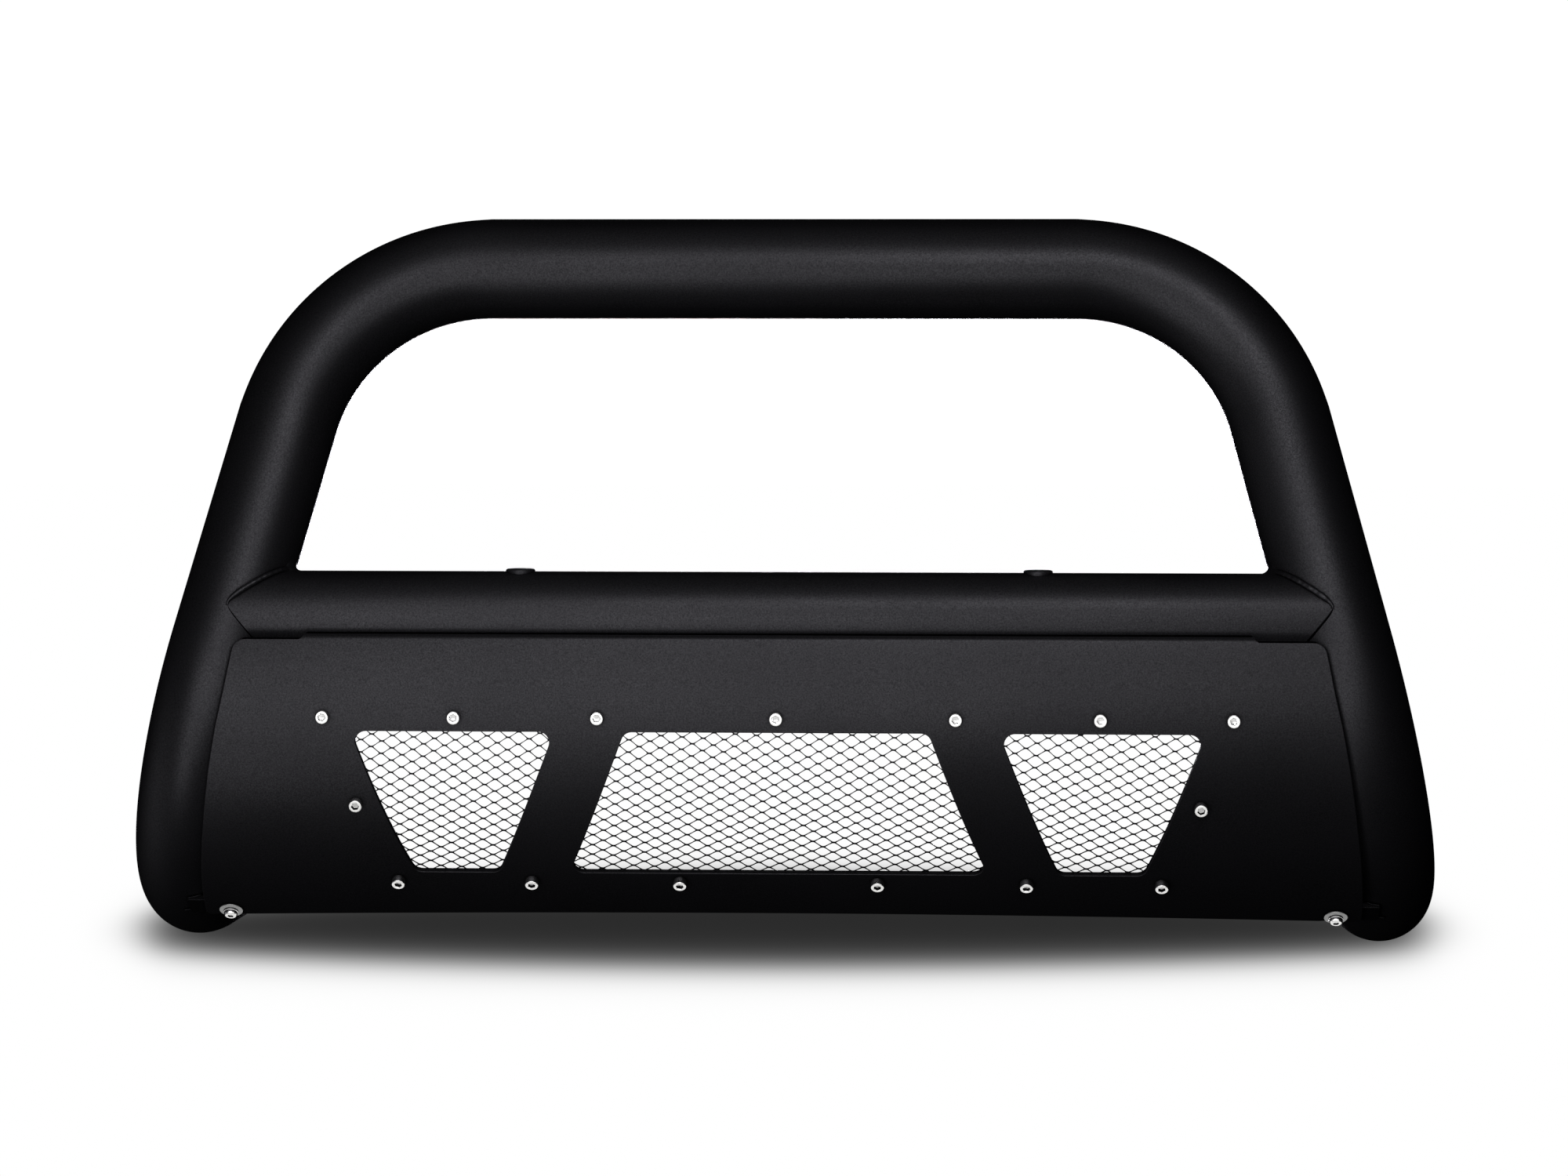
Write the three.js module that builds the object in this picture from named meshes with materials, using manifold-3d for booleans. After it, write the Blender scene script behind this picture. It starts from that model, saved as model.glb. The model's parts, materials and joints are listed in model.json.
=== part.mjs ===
// Front grille guard for a pickup or SUV: a bent 3 in hoop with a coped 2.5 in
// cross tube, and a rolled sheet plate with expanded-metal windows bolted on
// under it. Millimetres, +Z up, the vehicle's front faces -Y. Left is -X, as
// seen by someone standing in front of the vehicle.
import * as THREE from 'three';
import { mergeVertices } from 'three/addons/utils/BufferGeometryUtils.js';
import Module from 'manifold-3d';

const wasm = await Module();
wasm.setup();

const { degToRad, lerp } = THREE.MathUtils;

// ---------------------------------------------------------------- shared dimensions
// The parts are laid out from the middle of the hoop's top bar; the group is
// moved so that its origin is the bottom centre of the whole guard.
const GROUP_Y = -34.90;
const GROUP_Z = 523.68;

const GAP = 0.3;                // clearance between neighbouring solids
const SIDES = [[-1, 'left'], [1, 'right']];   // sign of X, label

// M6 fasteners
const SHANK_R = 3.0;
const HOLE_R = 3.4;
const HOLE_SIDES = 10;
const HOLE_OVERRUN = 2;         // drills run this far past the sheet

// ---------------------------------------------------------------- materials
const POWDER = { color: 0x141416, roughness: 0.62, metalness: 0.25 };
const MESH_BLACK = { color: 0x0e0e10, roughness: 0.5, metalness: 0.3 };
const STAINLESS = { color: 0xc9c9c6, roughness: 0.28, metalness: 0.95 };
const ZINC = { color: 0xa9abad, roughness: 0.38, metalness: 0.9 };
const PLASTIC = { color: 0x101012, roughness: 0.55, metalness: 0.0 };

// ---------------------------------------------------------------- solids and parts
const guard = new THREE.Group();
guard.position.set(0, GROUP_Y, GROUP_Z);

const vec = (x, y, z) => new THREE.Vector3(x, y, z);
const UP_Y = vec(0, 1, 0);      // axis of cylinders, lathes and fasteners as made
const turnFromY = (direction) => new THREE.Quaternion().setFromUnitVectors(UP_Y, direction);

// Closed geometry to solid, whichever way its faces are wound.
function toManifold(geometry) {
  const loose = geometry.index ? geometry.toNonIndexed() : geometry.clone();
  loose.deleteAttribute('normal');
  loose.deleteAttribute('uv');
  const merged = mergeVertices(loose, 1e-4);
  const index = merged.index.array;
  const triangles = [];
  for (let i = 0; i < index.length; i += 3) {
    const [a, b, c] = index.slice(i, i + 3);
    if (a !== b && b !== c && a !== c) triangles.push(a, b, c);
  }
  const build = () => new wasm.Manifold(new wasm.Mesh({
    numProp: 3,
    vertProperties: new Float32Array(merged.attributes.position.array),
    triVerts: new Uint32Array(triangles),
  }));
  const solid = build();
  if (solid.volume() >= 0) return solid;
  for (let i = 0; i < triangles.length; i += 3) {
    [triangles[i], triangles[i + 1]] = [triangles[i + 1], triangles[i]];
  }
  return build();
}

function toGeometry(solid) {
  const mesh = solid.getMesh();
  const geometry = new THREE.BufferGeometry();
  geometry.setAttribute('position', new THREE.BufferAttribute(mesh.vertProperties, 3));
  geometry.setIndex(Array.from(mesh.triVerts));
  geometry.computeVertexNormals();
  return geometry;
}

function addPart(name, solid, look) {
  const mesh = new THREE.Mesh(toGeometry(solid), new THREE.MeshStandardMaterial(look));
  mesh.name = name;
  guard.add(mesh);
}

const largestPiece = (solid) => solid.decompose().sort((p, q) => q.volume() - p.volume())[0];

// Cylinder geometry along Y, between two heights.
function cylinder(radius, y0, y1, sides) {
  const geometry = new THREE.CylinderGeometry(radius, radius, y1 - y0, sides);
  geometry.translate(0, (y0 + y1) / 2, 0);
  return geometry;
}

// Lathe geometry round Y; the profile lists [radius, height].
function lathe(profile, sides) {
  return new THREE.LatheGeometry(profile.map(([r, y]) => new THREE.Vector2(r, y)), sides);
}

// Shape drawn in (Y, Z), extruded towards +X from the given corner.
function extrudeAlongX(shape, depth, corner, curveSegments) {
  const geometry = new THREE.ExtrudeGeometry(shape, {
    depth, bevelEnabled: false, curveSegments,
  });
  geometry.applyMatrix4(
    new THREE.Matrix4().makeBasis(vec(0, 1, 0), vec(0, 0, 1), vec(1, 0, 0)));
  geometry.translate(corner.x, corner.y, corner.z);
  return toManifold(geometry);
}

function circleShape(outer, inner = 0) {
  const shape = new THREE.Shape();
  shape.absarc(0, 0, outer, 0, Math.PI * 2, false);
  if (inner) {
    const hole = new THREE.Path();
    hole.absarc(0, 0, inner, 0, Math.PI * 2, true);
    shape.holes.push(hole);
  }
  return shape;
}

// ---------------------------------------------------------------- sweeping round bars
const TUBE_DIVISIONS = 10;      // half the segment count of a round section

// A path known at chosen stations only.
class StationPath extends THREE.Curve {
  constructor(points, tangents) {
    super();
    this.points = points;
    this.tangents = tangents;
  }

  getTangentAt(u, target = new THREE.Vector3()) {
    return target.copy(this.tangents[Math.round(u * (this.points.length - 1))]);
  }

  getSpacedPoints() {
    return this.points.map((point) => point.clone());
  }
}

// Straight runs between vertices; bends holds one entry per inner vertex.
function roundedPath(vertices, bends) {
  const runs = vertices.slice(1).map((end, i) => end.clone().sub(vertices[i]).normalize());
  const points = [vertices[0].clone()];
  const tangents = [runs[0].clone()];
  bends.forEach(({ radius, segments }, i) => {
    const before = runs[i];
    const after = runs[i + 1];
    const turn = before.angleTo(after);
    const start = vertices[i + 1].clone().addScaledVector(before, -radius * Math.tan(turn / 2));
    const inward = after.clone().addScaledVector(before, -before.dot(after)).normalize();
    const centre = start.clone().addScaledVector(inward, radius);
    for (let k = 0; k <= segments; k++) {
      const angle = (k / segments) * turn;
      points.push(centre.clone()
        .addScaledVector(before, radius * Math.sin(angle))
        .addScaledVector(inward, -radius * Math.cos(angle)));
      tangents.push(before.clone().multiplyScalar(Math.cos(angle))
        .addScaledVector(inward, Math.sin(angle)).normalize());
    }
  });
  points.push(vertices[vertices.length - 1].clone());
  tangents.push(runs[runs.length - 1].clone());
  return new StationPath(points, tangents);
}

function sweep(path, radius, divisions = TUBE_DIVISIONS) {
  return toManifold(new THREE.ExtrudeGeometry(circleShape(radius), {
    steps: path.points.length - 1,
    extrudePath: path,
    bevelEnabled: false,
    curveSegments: divisions,
  }));
}

// ---------------------------------------------------------------- main hoop
const TUBE_R = 38.1;            // 3 in tube
const TUBE_WALL = 2.0;
const BORE_R = TUBE_R - TUBE_WALL;
const BORE_DIVISIONS = 6;
const BORE_OVERRUN = 2;         // past both ends, so that the bore opens them
const TOP_HALF = 347.05;        // middle of the top bar to the top bend's vertex
const LEG_LEN = 522.06;         // top vertex to lower vertex, along the leg
const LEAN = degToRad(16.79);   // legs lean back at the top
const SPLAY = degToRad(13.70);  // legs splay out at the foot
const TOP_BEND = { radius: 156.94, segments: 7 };
const LOW_BEND = { radius: 163.65, segments: 10 };
const REAR_LEN = 280;           // lower vertex to the tube's rear end
const REAR_TOE = -0.035;        // X per unit of Y along the right leg's rear run

// vertices of the right half (+X)
const legDir = vec(
  Math.sin(SPLAY), -Math.sin(LEAN) * Math.cos(SPLAY), -Math.cos(LEAN) * Math.cos(SPLAY));
const topVertex = vec(TOP_HALF, 0, 0);
const lowVertex = topVertex.clone().addScaledVector(legDir, LEG_LEN);
const rearDir = vec(REAR_TOE, 1, 0).normalize();
const rearEnd = lowVertex.clone().addScaledVector(rearDir, REAR_LEN);

function makeHoopPath(overrun = 0) {
  const end = rearEnd.clone().addScaledVector(rearDir, overrun);
  const right = [topVertex, lowVertex, end];
  const left = right.map((p) => vec(-p.x, p.y, p.z)).reverse();
  return roundedPath([...left, ...right], [LOW_BEND, TOP_BEND, TOP_BEND, LOW_BEND]);
}

const hoopPath = makeHoopPath();
const hoopCutter = sweep(hoopPath, TUBE_R + GAP);
const hoopBore = sweep(makeHoopPath(BORE_OVERRUN), BORE_R, BORE_DIVISIONS);
addPart('main_hoop', sweep(hoopPath, TUBE_R).subtract(hoopBore), POWDER);

// Moves geometry made along Y to a leg's rear end, facing out of the tube.
function placeAtLegEnd(geometry, side, shiftY = 0) {
  geometry.applyQuaternion(turnFromY(vec(side * rearDir.x, rearDir.y, 0)));
  geometry.translate(side * rearEnd.x, rearEnd.y + shiftY, rearEnd.z);
  return toManifold(geometry);
}

// ---------------------------------------------------------------- cross tube
const CROSS_R = 31.75;          // 2.5 in tube
const CROSS_WALL = 2.0;
const CROSS_Y = -84.8;
const CROSS_Z = -260.0;
const CROSS_REACH = 405;        // half-length before the ends are coped
const PLUG_X = 193.5;           // lamp-mounting holes on the tube's crown
const PLUG_R = 9.5;
const PLUG_STEM_EASE = 0.1;     // stem radius is less than PLUG_R by this
const PLUG_STEM_DEPTH = 9;      // below the crown
const PLUG_CAP_R = 11;
const PLUG_CAP_T = 1.8;
const PLUG_CAP_BEVEL = 0.8;
const PLUG_CAP_BLANK_H = 5;     // before the cap is cut to the round wall

function crossRod(radius, inner) {
  const geometry = new THREE.ExtrudeGeometry(circleShape(radius, inner), {
    depth: CROSS_REACH * 2, bevelEnabled: false, curveSegments: TUBE_DIVISIONS,
  });
  geometry.rotateY(Math.PI / 2);
  geometry.translate(-CROSS_REACH, CROSS_Y, CROSS_Z);
  return toManifold(geometry);
}

// Upright rod at a plug's place.
function plugRod(side, radius, z0, z1) {
  const geometry = new THREE.CylinderGeometry(radius, radius, z1 - z0, 14);
  geometry.rotateX(Math.PI / 2);
  geometry.translate(side * PLUG_X, CROSS_Y, (z0 + z1) / 2);
  return toManifold(geometry);
}

const crossCutter = crossRod(CROSS_R + GAP);

function makeCrossTube() {
  let tube = crossRod(CROSS_R, CROSS_R - CROSS_WALL).subtract(hoopCutter);
  for (const [side] of SIDES) {
    tube = tube.subtract(plugRod(side, PLUG_R + GAP, CROSS_Z + 5, CROSS_Z + CROSS_R + 5));
  }
  return tube;
}

// Low cap that sits on the round wall, and a stem.
function makePlug(side) {
  const crown = CROSS_Z + CROSS_R;
  const top = crown + GAP + PLUG_CAP_T;
  const cap = lathe([
    [0, -PLUG_CAP_BLANK_H], [PLUG_CAP_R, -PLUG_CAP_BLANK_H],
    [PLUG_CAP_R, -PLUG_CAP_BEVEL], [PLUG_CAP_R - PLUG_CAP_BEVEL, 0], [0, 0],
  ], 20);
  cap.rotateX(Math.PI / 2);
  cap.translate(side * PLUG_X, CROSS_Y, top);
  const stem = plugRod(side, PLUG_R - PLUG_STEM_EASE, crown - PLUG_STEM_DEPTH, top - 1);
  return toManifold(cap).subtract(crossCutter).add(stem);
}

addPart('cross_tube', makeCrossTube(), POWDER);
for (const [side, label] of SIDES) {
  addPart(`light_hole_plug_${label}`, makePlug(side), PLASTIC);
}

// ---------------------------------------------------------------- cope welds
// Fillets along the upper half of the copes, from the tube's front over its crown.
const WELD_R = 4.3;
const WELD_DIVISIONS = 4;
const WELD_START_DEG = -4;
const WELD_STEP_DEG = 11.5;
const WELD_STATIONS = 17;
const WELD_STEPS = 15;

// Point where a line along the cross tube's wall meets the leg's inner side.
function copePoint(side, angle) {
  const y = CROSS_Y - CROSS_R * Math.cos(angle);
  const z = CROSS_Z + CROSS_R * Math.sin(angle);
  const offset = vec(0, y, z).sub(topVertex);
  const along = offset.dot(legDir);
  // quadratic in X: the distance to the leg's axis equals the tube's radius
  const a = 1 - legDir.x * legDir.x;
  const b = 2 * (offset.x - along * legDir.x);
  const c = offset.lengthSq() - along * along - TUBE_R * TUBE_R;
  const x = (-b - Math.sqrt(b * b - 4 * a * c)) / (2 * a);
  return vec(side * x, y, z);
}

function makeCopeWeld(side) {
  const curve = new THREE.CatmullRomCurve3(Array.from({ length: WELD_STATIONS },
    (_, k) => copePoint(side, degToRad(WELD_START_DEG + k * WELD_STEP_DEG))));
  const fractions = Array.from({ length: WELD_STEPS + 1 }, (_, i) => i / WELD_STEPS);
  const path = new StationPath(
    fractions.map((u) => curve.getPointAt(u)),
    fractions.map((u) => curve.getTangentAt(u)));
  const bead = sweep(path, WELD_R, WELD_DIVISIONS);
  return largestPiece(bead.subtract(hoopCutter).subtract(crossCutter));
}

for (const [side, label] of SIDES) addPart(`cope_weld_${label}`, makeCopeWeld(side), POWDER);

// ---------------------------------------------------------------- leg end caps
const SPIGOT_R = BORE_R - GAP - 2;
const SPIGOT_LEN = 8;
const SPIGOT_BEVEL = 1;
const END_CAP_TOP = 3.3;        // outer face, beyond the tube's end
const END_CAP_RIM = 2.5;        // where its bevel starts

function makeEndCap(side) {
  return placeAtLegEnd(lathe([
    [0, -SPIGOT_LEN], [SPIGOT_R - SPIGOT_BEVEL, -SPIGOT_LEN],
    [SPIGOT_R, SPIGOT_BEVEL - SPIGOT_LEN], [SPIGOT_R, GAP],
    [TUBE_R, GAP], [TUBE_R, END_CAP_RIM],
    [TUBE_R - 1, END_CAP_TOP], [0, END_CAP_TOP],
  ], 20), side);
}

for (const [side, label] of SIDES) addPart(`leg_end_cap_${label}`, makeEndCap(side), PLASTIC);

// ---------------------------------------------------------------- rolled surface
// The plate is ruled along X and rolled round an axis through (PLATE_Y, PLATE_Z).
// s is the distance down its front surface, s = 0 where the roll starts.
const PLATE_Y = 72.14;
const PLATE_Z = -327.06;
const PLATE_R = 202.0;          // front surface
const PLATE_T = 2.5;
const PLATE_SLOPE = degToRad(16.3); // the normal's slope above level at s = 0
const BEHIND_PLATE = -PLATE_T - GAP; // front face of whatever lies behind it
const S_BEND = 7.0;             // the rearward-turned upper edge starts here
const BEND_R = 4.7;             // its outer radius
const LIP_TURN = degToRad(74);  // it turns by this much
const LIP_LEN = 1.6;            // and runs on by this much

// Point on the rolled surface at (X, s), raised by offset along its outward normal.
function onPlate(x, s, offset = 0) {
  let slope = PLATE_SLOPE - Math.max(s, S_BEND) / PLATE_R;
  let y = PLATE_Y - PLATE_R * Math.cos(slope);
  let z = PLATE_Z + PLATE_R * Math.sin(slope);
  if (s < S_BEND) {
    const centreY = y + BEND_R * Math.cos(slope);
    const centreZ = z - BEND_R * Math.sin(slope);
    slope += Math.min((S_BEND - s) / BEND_R, LIP_TURN);
    y = centreY - BEND_R * Math.cos(slope);
    z = centreZ + BEND_R * Math.sin(slope);
    const beyondBend = Math.max((S_BEND - s) - LIP_TURN * BEND_R, 0);
    y += beyondBend * Math.sin(slope);
    z += beyondBend * Math.cos(slope);
  }
  return vec(x, y - offset * Math.cos(slope), z + offset * Math.sin(slope));
}

function plateTurn(s) {
  const slope = PLATE_SLOPE - s / PLATE_R;
  return turnFromY(vec(0, -Math.cos(slope), Math.sin(slope)));
}

// Geometry made along +Y, set on the surface normal at (X, s).
function placeOnNormal(geometry, x, s, offset) {
  geometry.applyQuaternion(plateTurn(s));
  const { x: px, y, z } = onPlate(x, s, offset);
  geometry.translate(px, y, z);
  return toManifold(geometry);
}

// Rod along the surface normal at (X, s), between two offsets.
function normalRod(x, s, radius, from, to, sides = HOLE_SIDES) {
  const geometry = new THREE.CylinderGeometry(radius, radius, to - from, sides);
  return placeOnNormal(geometry, x, s, (from + to) / 2);
}
const plateDrill = (x, s) => normalRod(x, s, HOLE_R, -PLATE_T - HOLE_OVERRUN, HOLE_OVERRUN);
const deepDrill = (x, s) => normalRod(x, s, HOLE_R, -20, HOLE_OVERRUN);

// A solid made along +Y, set on the surface normal at (X, s).
function seat(solid, x, s, offset) {
  return solid.transform(new THREE.Matrix4()
    .compose(onPlate(x, s, offset), plateTurn(s), vec(1, 1, 1)).elements);
}

const NO_ARCH = { columns: () => [], drop: () => 0 };

// Closed sheet between two offsets of the rolled surface. spans(s, dir) lists
// the X spans of material just below (dir > 0) or just above (dir < 0) row s.
// The arch adds columns of points to a row and lengthens s by its drop.
function rolledSheet(rows, spans, front, back, arch = NO_ARCH) {
  const above = rows.map((s, i) => (i > 0 ? spans(s, -1) : []));
  const below = rows.map((s, i) => (i < rows.length - 1 ? spans(s, 1) : []));
  const rowX = rows.map((s, i) => {
    const xs = [...above[i].flat(), ...below[i].flat(), ...arch.columns(s)]
      .sort((a, b) => a - b);
    return xs.filter((x, k) => k === 0 || x - xs[k - 1] > 1e-6);
  });
  const between = (xs, x0, x1) => xs.filter((x) => x >= x0 - 1e-6 && x <= x1 + 1e-6);
  const coordinates = [];
  const triangle = (...corners) => corners.forEach((p) => coordinates.push(p.x, p.y, p.z));
  const quad = (a, b, c, d) => {
    triangle(a, b, c);
    triangle(a, c, d);
  };
  const pointAt = (x, i, offset) => onPlate(x, rows[i] + arch.drop(x, rows[i]), offset);
  const F = (x, i) => pointAt(x, i, front);
  const B = (x, i) => pointAt(x, i, back);

  // front and back faces and the side edges, strip by strip
  for (let i = 0; i + 1 < rows.length; i++) {
    below[i].forEach(([x0, x1], k) => {
      const [u0, u1] = above[i + 1][k];
      const top = between(rowX[i], x0, x1);
      const foot = between(rowX[i + 1], u0, u1);
      let a = 0;
      let b = 0;
      while (a < top.length - 1 || b < foot.length - 1) {
        const nextTop = a + 1 < top.length ? (top[a + 1] - x0) / (x1 - x0) : Infinity;
        const nextFoot = b + 1 < foot.length ? (foot[b + 1] - u0) / (u1 - u0) : Infinity;
        if (nextTop <= nextFoot) {
          triangle(F(top[a], i), F(foot[b], i + 1), F(top[a + 1], i));
          triangle(B(top[a], i), B(top[a + 1], i), B(foot[b], i + 1));
          a++;
        } else {
          triangle(F(top[a], i), F(foot[b], i + 1), F(foot[b + 1], i + 1));
          triangle(B(top[a], i), B(foot[b + 1], i + 1), B(foot[b], i + 1));
          b++;
        }
      }
      quad(F(x0, i), B(x0, i), B(u0, i + 1), F(u0, i + 1));
      quad(F(x1, i), F(u1, i + 1), B(u1, i + 1), B(x1, i));
    });
  }

  // edges along a row, where material starts or stops
  const inside = (list, x) => list.some(([p, q]) => x > p && x < q);
  rowX.forEach((xs, i) => {
    for (let j = 0; j + 1 < xs.length; j++) {
      const p = xs[j];
      const q = xs[j + 1];
      const isAbove = inside(above[i], (p + q) / 2);
      const isBelow = inside(below[i], (p + q) / 2);
      if (isBelow && !isAbove) quad(F(p, i), F(q, i), B(q, i), B(p, i));
      if (isAbove && !isBelow) quad(F(p, i), B(p, i), B(q, i), F(q, i));
    }
  });
  const geometry = new THREE.BufferGeometry();
  geometry.setAttribute('position', new THREE.Float32BufferAttribute(coordinates, 3));
  return toManifold(geometry);
}

// ---------------------------------------------------------------- windows and inserts
// Trapezoids give their X span at the top and at the foot.
const WIN_TOP = 75.5;           // s
const WIN_FOOT = 196.3;
const WIN_R = 8;                // corners
const SIDE_WIN = { top: [164.5, 315.5], foot: [209.9, 273.3] };
const MID_WIN = { top: [-112.3, 112.3], foot: [-157.0, 157.0] };
const SIDE_MESH = { top: [150.5, 348.5], foot: [172.5, 298.5] };
const MID_MESH = { top: [-144, 144], foot: [-166, 166] };

const flip = ({ top, foot }) => ({ top: [-top[1], -top[0]], foot: [-foot[1], -foot[0]] });
const spanAt = ({ top, foot }, t) => [lerp(top[0], foot[0], t), lerp(top[1], foot[1], t)];

// roll: degrees the diamond pattern is turned by; screws: [X, s]
const INSERTS = [
  {
    label: 'left', outline: flip(SIDE_MESH), window: flip(SIDE_WIN), roll: -3.4,
    screws: [[-336, 64.7], [-238.5, 64.7], [-313.5, 132], [-287, 204.5], [-186, 204.5]],
  },
  {
    label: 'centre', outline: MID_MESH, window: MID_WIN, roll: -3.7,
    screws: [[-132.2, 64.7], [0, 64.7], [132.2, 64.7], [-74.3, 204.5], [74.3, 204.5]],
  },
  {
    label: 'right', outline: SIDE_MESH, window: SIDE_WIN, roll: -6.0,
    screws: [[238.5, 64.7], [336, 64.7], [313.5, 132], [186, 204.5], [287, 204.5]],
  },
];

// ---------------------------------------------------------------- skid plate
const LIP_HALF = 352;           // half-width of the turned edge
const S_FOOT = 250.0;
const CORNER_R = 10;            // upper outer corners
const FOOT_CORNER_R = 4;
const PLATE_EDGE = [            // [s, half-width]
  [7, 403.0], [13, 404.1], [45, 410.3], [73, 416.7], [105, 422.8], [131, 427.0],
  [165, 432.0], [193, 435.7], [218.5, 438.2], [250, 440.3],
];
// The foot is cut to a shallow arch: high in the middle, low at the ends.
const ARCH_FROM = 236;          // rows below this s are shifted
const ARCH_MID = -3.1;          // shift at the middle
const ARCH_RISE = 6.6;          // from the middle to |X| = ARCH_RISE_X
const ARCH_RISE_X = 400;
const ARCH_COLUMN_PITCH = 60;
const ARCH_COLUMNS = 15;
const BOLT_X = 420;             // lower plate bolts
const BOLT_S = 245.3;
const STUD_X = 288;             // weld studs on the back, for the upper brackets
const STUD_S = 42;
const STUD_LEN = 16;

const footArch = {
  columns: (s) => (s > ARCH_FROM
    ? Array.from({ length: ARCH_COLUMNS },
      (_, k) => (k - (ARCH_COLUMNS - 1) / 2) * ARCH_COLUMN_PITCH)
    : []),
  drop: (x, s) => Math.max(0, (s - ARCH_FROM) / (S_FOOT - ARCH_FROM))
    * (ARCH_MID + ARCH_RISE * (x / ARCH_RISE_X) ** 2),
};

function plateHalfWidth(s) {
  const next = PLATE_EDGE.findIndex(([end], k) => k > 0 && s <= end);
  const [s0, w0] = PLATE_EDGE[next - 1];
  const [s1, w1] = PLATE_EDGE[next];
  const width = lerp(w0, w1, (s - s0) / (s1 - s0));
  const cornerLoss = (radius, d) => radius - Math.sqrt(Math.max(radius ** 2 - d * d, 0));
  if (s < S_BEND + CORNER_R) return width - cornerLoss(CORNER_R, S_BEND + CORNER_R - s);
  if (s > S_FOOT - FOOT_CORNER_R) {
    return width - cornerLoss(FOOT_CORNER_R, s - (S_FOOT - FOOT_CORNER_R));
  }
  return width;
}

// X span at s of a window with rounded corners.
function windowSpan(window, s) {
  const height = WIN_FOOT - WIN_TOP;
  return [-1, 1].map((out, k) => {
    const edgeX = (level) => lerp(window.top[k], window.foot[k], (level - WIN_TOP) / height);
    const slope = (window.foot[k] - window.top[k]) / height * out; // outward per s
    const slant = Math.hypot(1, slope);
    for (const [centreS, sign] of [[WIN_TOP + WIN_R, -1], [WIN_FOOT - WIN_R, 1]]) {
      const touchS = centreS - (slope / slant) * WIN_R;
      if ((s - touchS) * sign > 0) {
        const centreX = edgeX(centreS) - out * WIN_R * slant;
        return centreX + out * Math.sqrt(Math.max(WIN_R ** 2 - (s - centreS) ** 2, 0));
      }
    }
    return edgeX(s);
  });
}

function plateSpans(s, dir) {
  const probe = s + dir * 1e-6;
  if (probe < S_BEND) return [[-LIP_HALF, LIP_HALF]];
  const half = plateHalfWidth(s);
  if (probe < WIN_TOP || probe > WIN_FOOT) return [[-half, half]];
  const side = windowSpan(SIDE_WIN, s);
  const mid = windowSpan(MID_WIN, s);
  return [[-half, -side[1]], [-side[0], mid[0]], [mid[1], side[0]], [side[1], half]];
}

function plateRows() {
  const lipTop = S_BEND - LIP_TURN * BEND_R - LIP_LEN;
  const cornerSteps = [0, 0.06, 0.3, 0.7].map((part) => WIN_R * part);
  const rows = [
    lipTop, lipTop + LIP_LEN, lipTop + LIP_LEN + 3.0, S_BEND,
    S_BEND + 0.6, S_BEND + 2.4, S_BEND + 5.4, S_BEND + 10, 30, 45, 60,
    ...cornerSteps.map((step) => WIN_TOP + step),
    ...cornerSteps.map((step) => WIN_FOOT - step),
    210, 223, 236, S_FOOT - FOOT_CORNER_R, S_FOOT - 1.2, S_FOOT,
  ];
  for (let s = WIN_TOP + WIN_R * 1.4; s < WIN_FOOT - WIN_R - 6; s += 15.2) rows.push(s);
  return rows.sort((a, b) => a - b);
}

function makeSkidPlate() {
  let plate = rolledSheet(plateRows(), plateSpans, 0, -PLATE_T, footArch);
  for (const [x, s] of INSERTS.flatMap(({ screws }) => screws)) {
    plate = plate.subtract(plateDrill(x, s));
  }
  for (const [side] of SIDES) {
    plate = plate
      .subtract(plateDrill(side * BOLT_X, BOLT_S))
      .add(normalRod(side * STUD_X, STUD_S, SHANK_R, -PLATE_T - STUD_LEN, -PLATE_T + 0.5, 8));
  }
  return plate;
}

addPart('skid_plate', makeSkidPlate(), POWDER);

// ---------------------------------------------------------------- mesh inserts
const MESH_T = 1.5;
const MESH_TOP = 54;            // s
const MESH_FOOT = 215;
const MESH_STRIPS = 7;
const MESH_BACK = BEHIND_PLATE - MESH_T;
const MESH_HOLE_R = HOLE_R + 0.2;
const CELL_W = 45.9;            // long way of a diamond, along X before the roll
const CELL_H = 26.4;            // short way
const STRAND = 3.0;
const CELL_REACH = 24;          // half-cells tried each way from the window's middle
const CELL_INSET_S = 2;         // diamond centres keep this far inside the window
const CELL_INSET_X = 4;

// Four-sided prism along the normal.
function diamond(x, s, roll) {
  const prism = new THREE.CylinderGeometry(1, 1, MESH_T + 6, 4);
  prism.scale((CELL_W - STRAND * 2.1) / 2, 1, (CELL_H - STRAND * 1.25) / 2);
  prism.rotateY(roll);
  return placeOnNormal(prism, x, s, (BEHIND_PLATE + MESH_BACK) / 2);
}

// All diamonds whose centres lie in the window.
function diamondPattern(window, roll) {
  const middleS = (WIN_TOP + WIN_FOOT) / 2;
  const middleX = (window.top[0] + window.top[1] + window.foot[0] + window.foot[1]) / 4;
  let cuts = null;
  for (let i = -CELL_REACH; i <= CELL_REACH; i++) {
    for (let j = -CELL_REACH; j <= CELL_REACH; j++) {
      if ((i + j) % 2) continue;
      const across = (i * CELL_W) / 2;
      const down = (j * CELL_H) / 2;
      const x = middleX + across * Math.cos(roll) + down * Math.sin(roll);
      const s = middleS - across * Math.sin(roll) + down * Math.cos(roll);
      if (s < WIN_TOP + CELL_INSET_S || s > WIN_FOOT - CELL_INSET_S) continue;
      const [x0, x1] = spanAt(window, (s - WIN_TOP) / (WIN_FOOT - WIN_TOP));
      if (x < x0 + CELL_INSET_X || x > x1 - CELL_INSET_X) continue;
      const cell = diamond(x, s, roll);
      cuts = cuts ? cuts.add(cell) : cell;
    }
  }
  return cuts;
}

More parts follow.
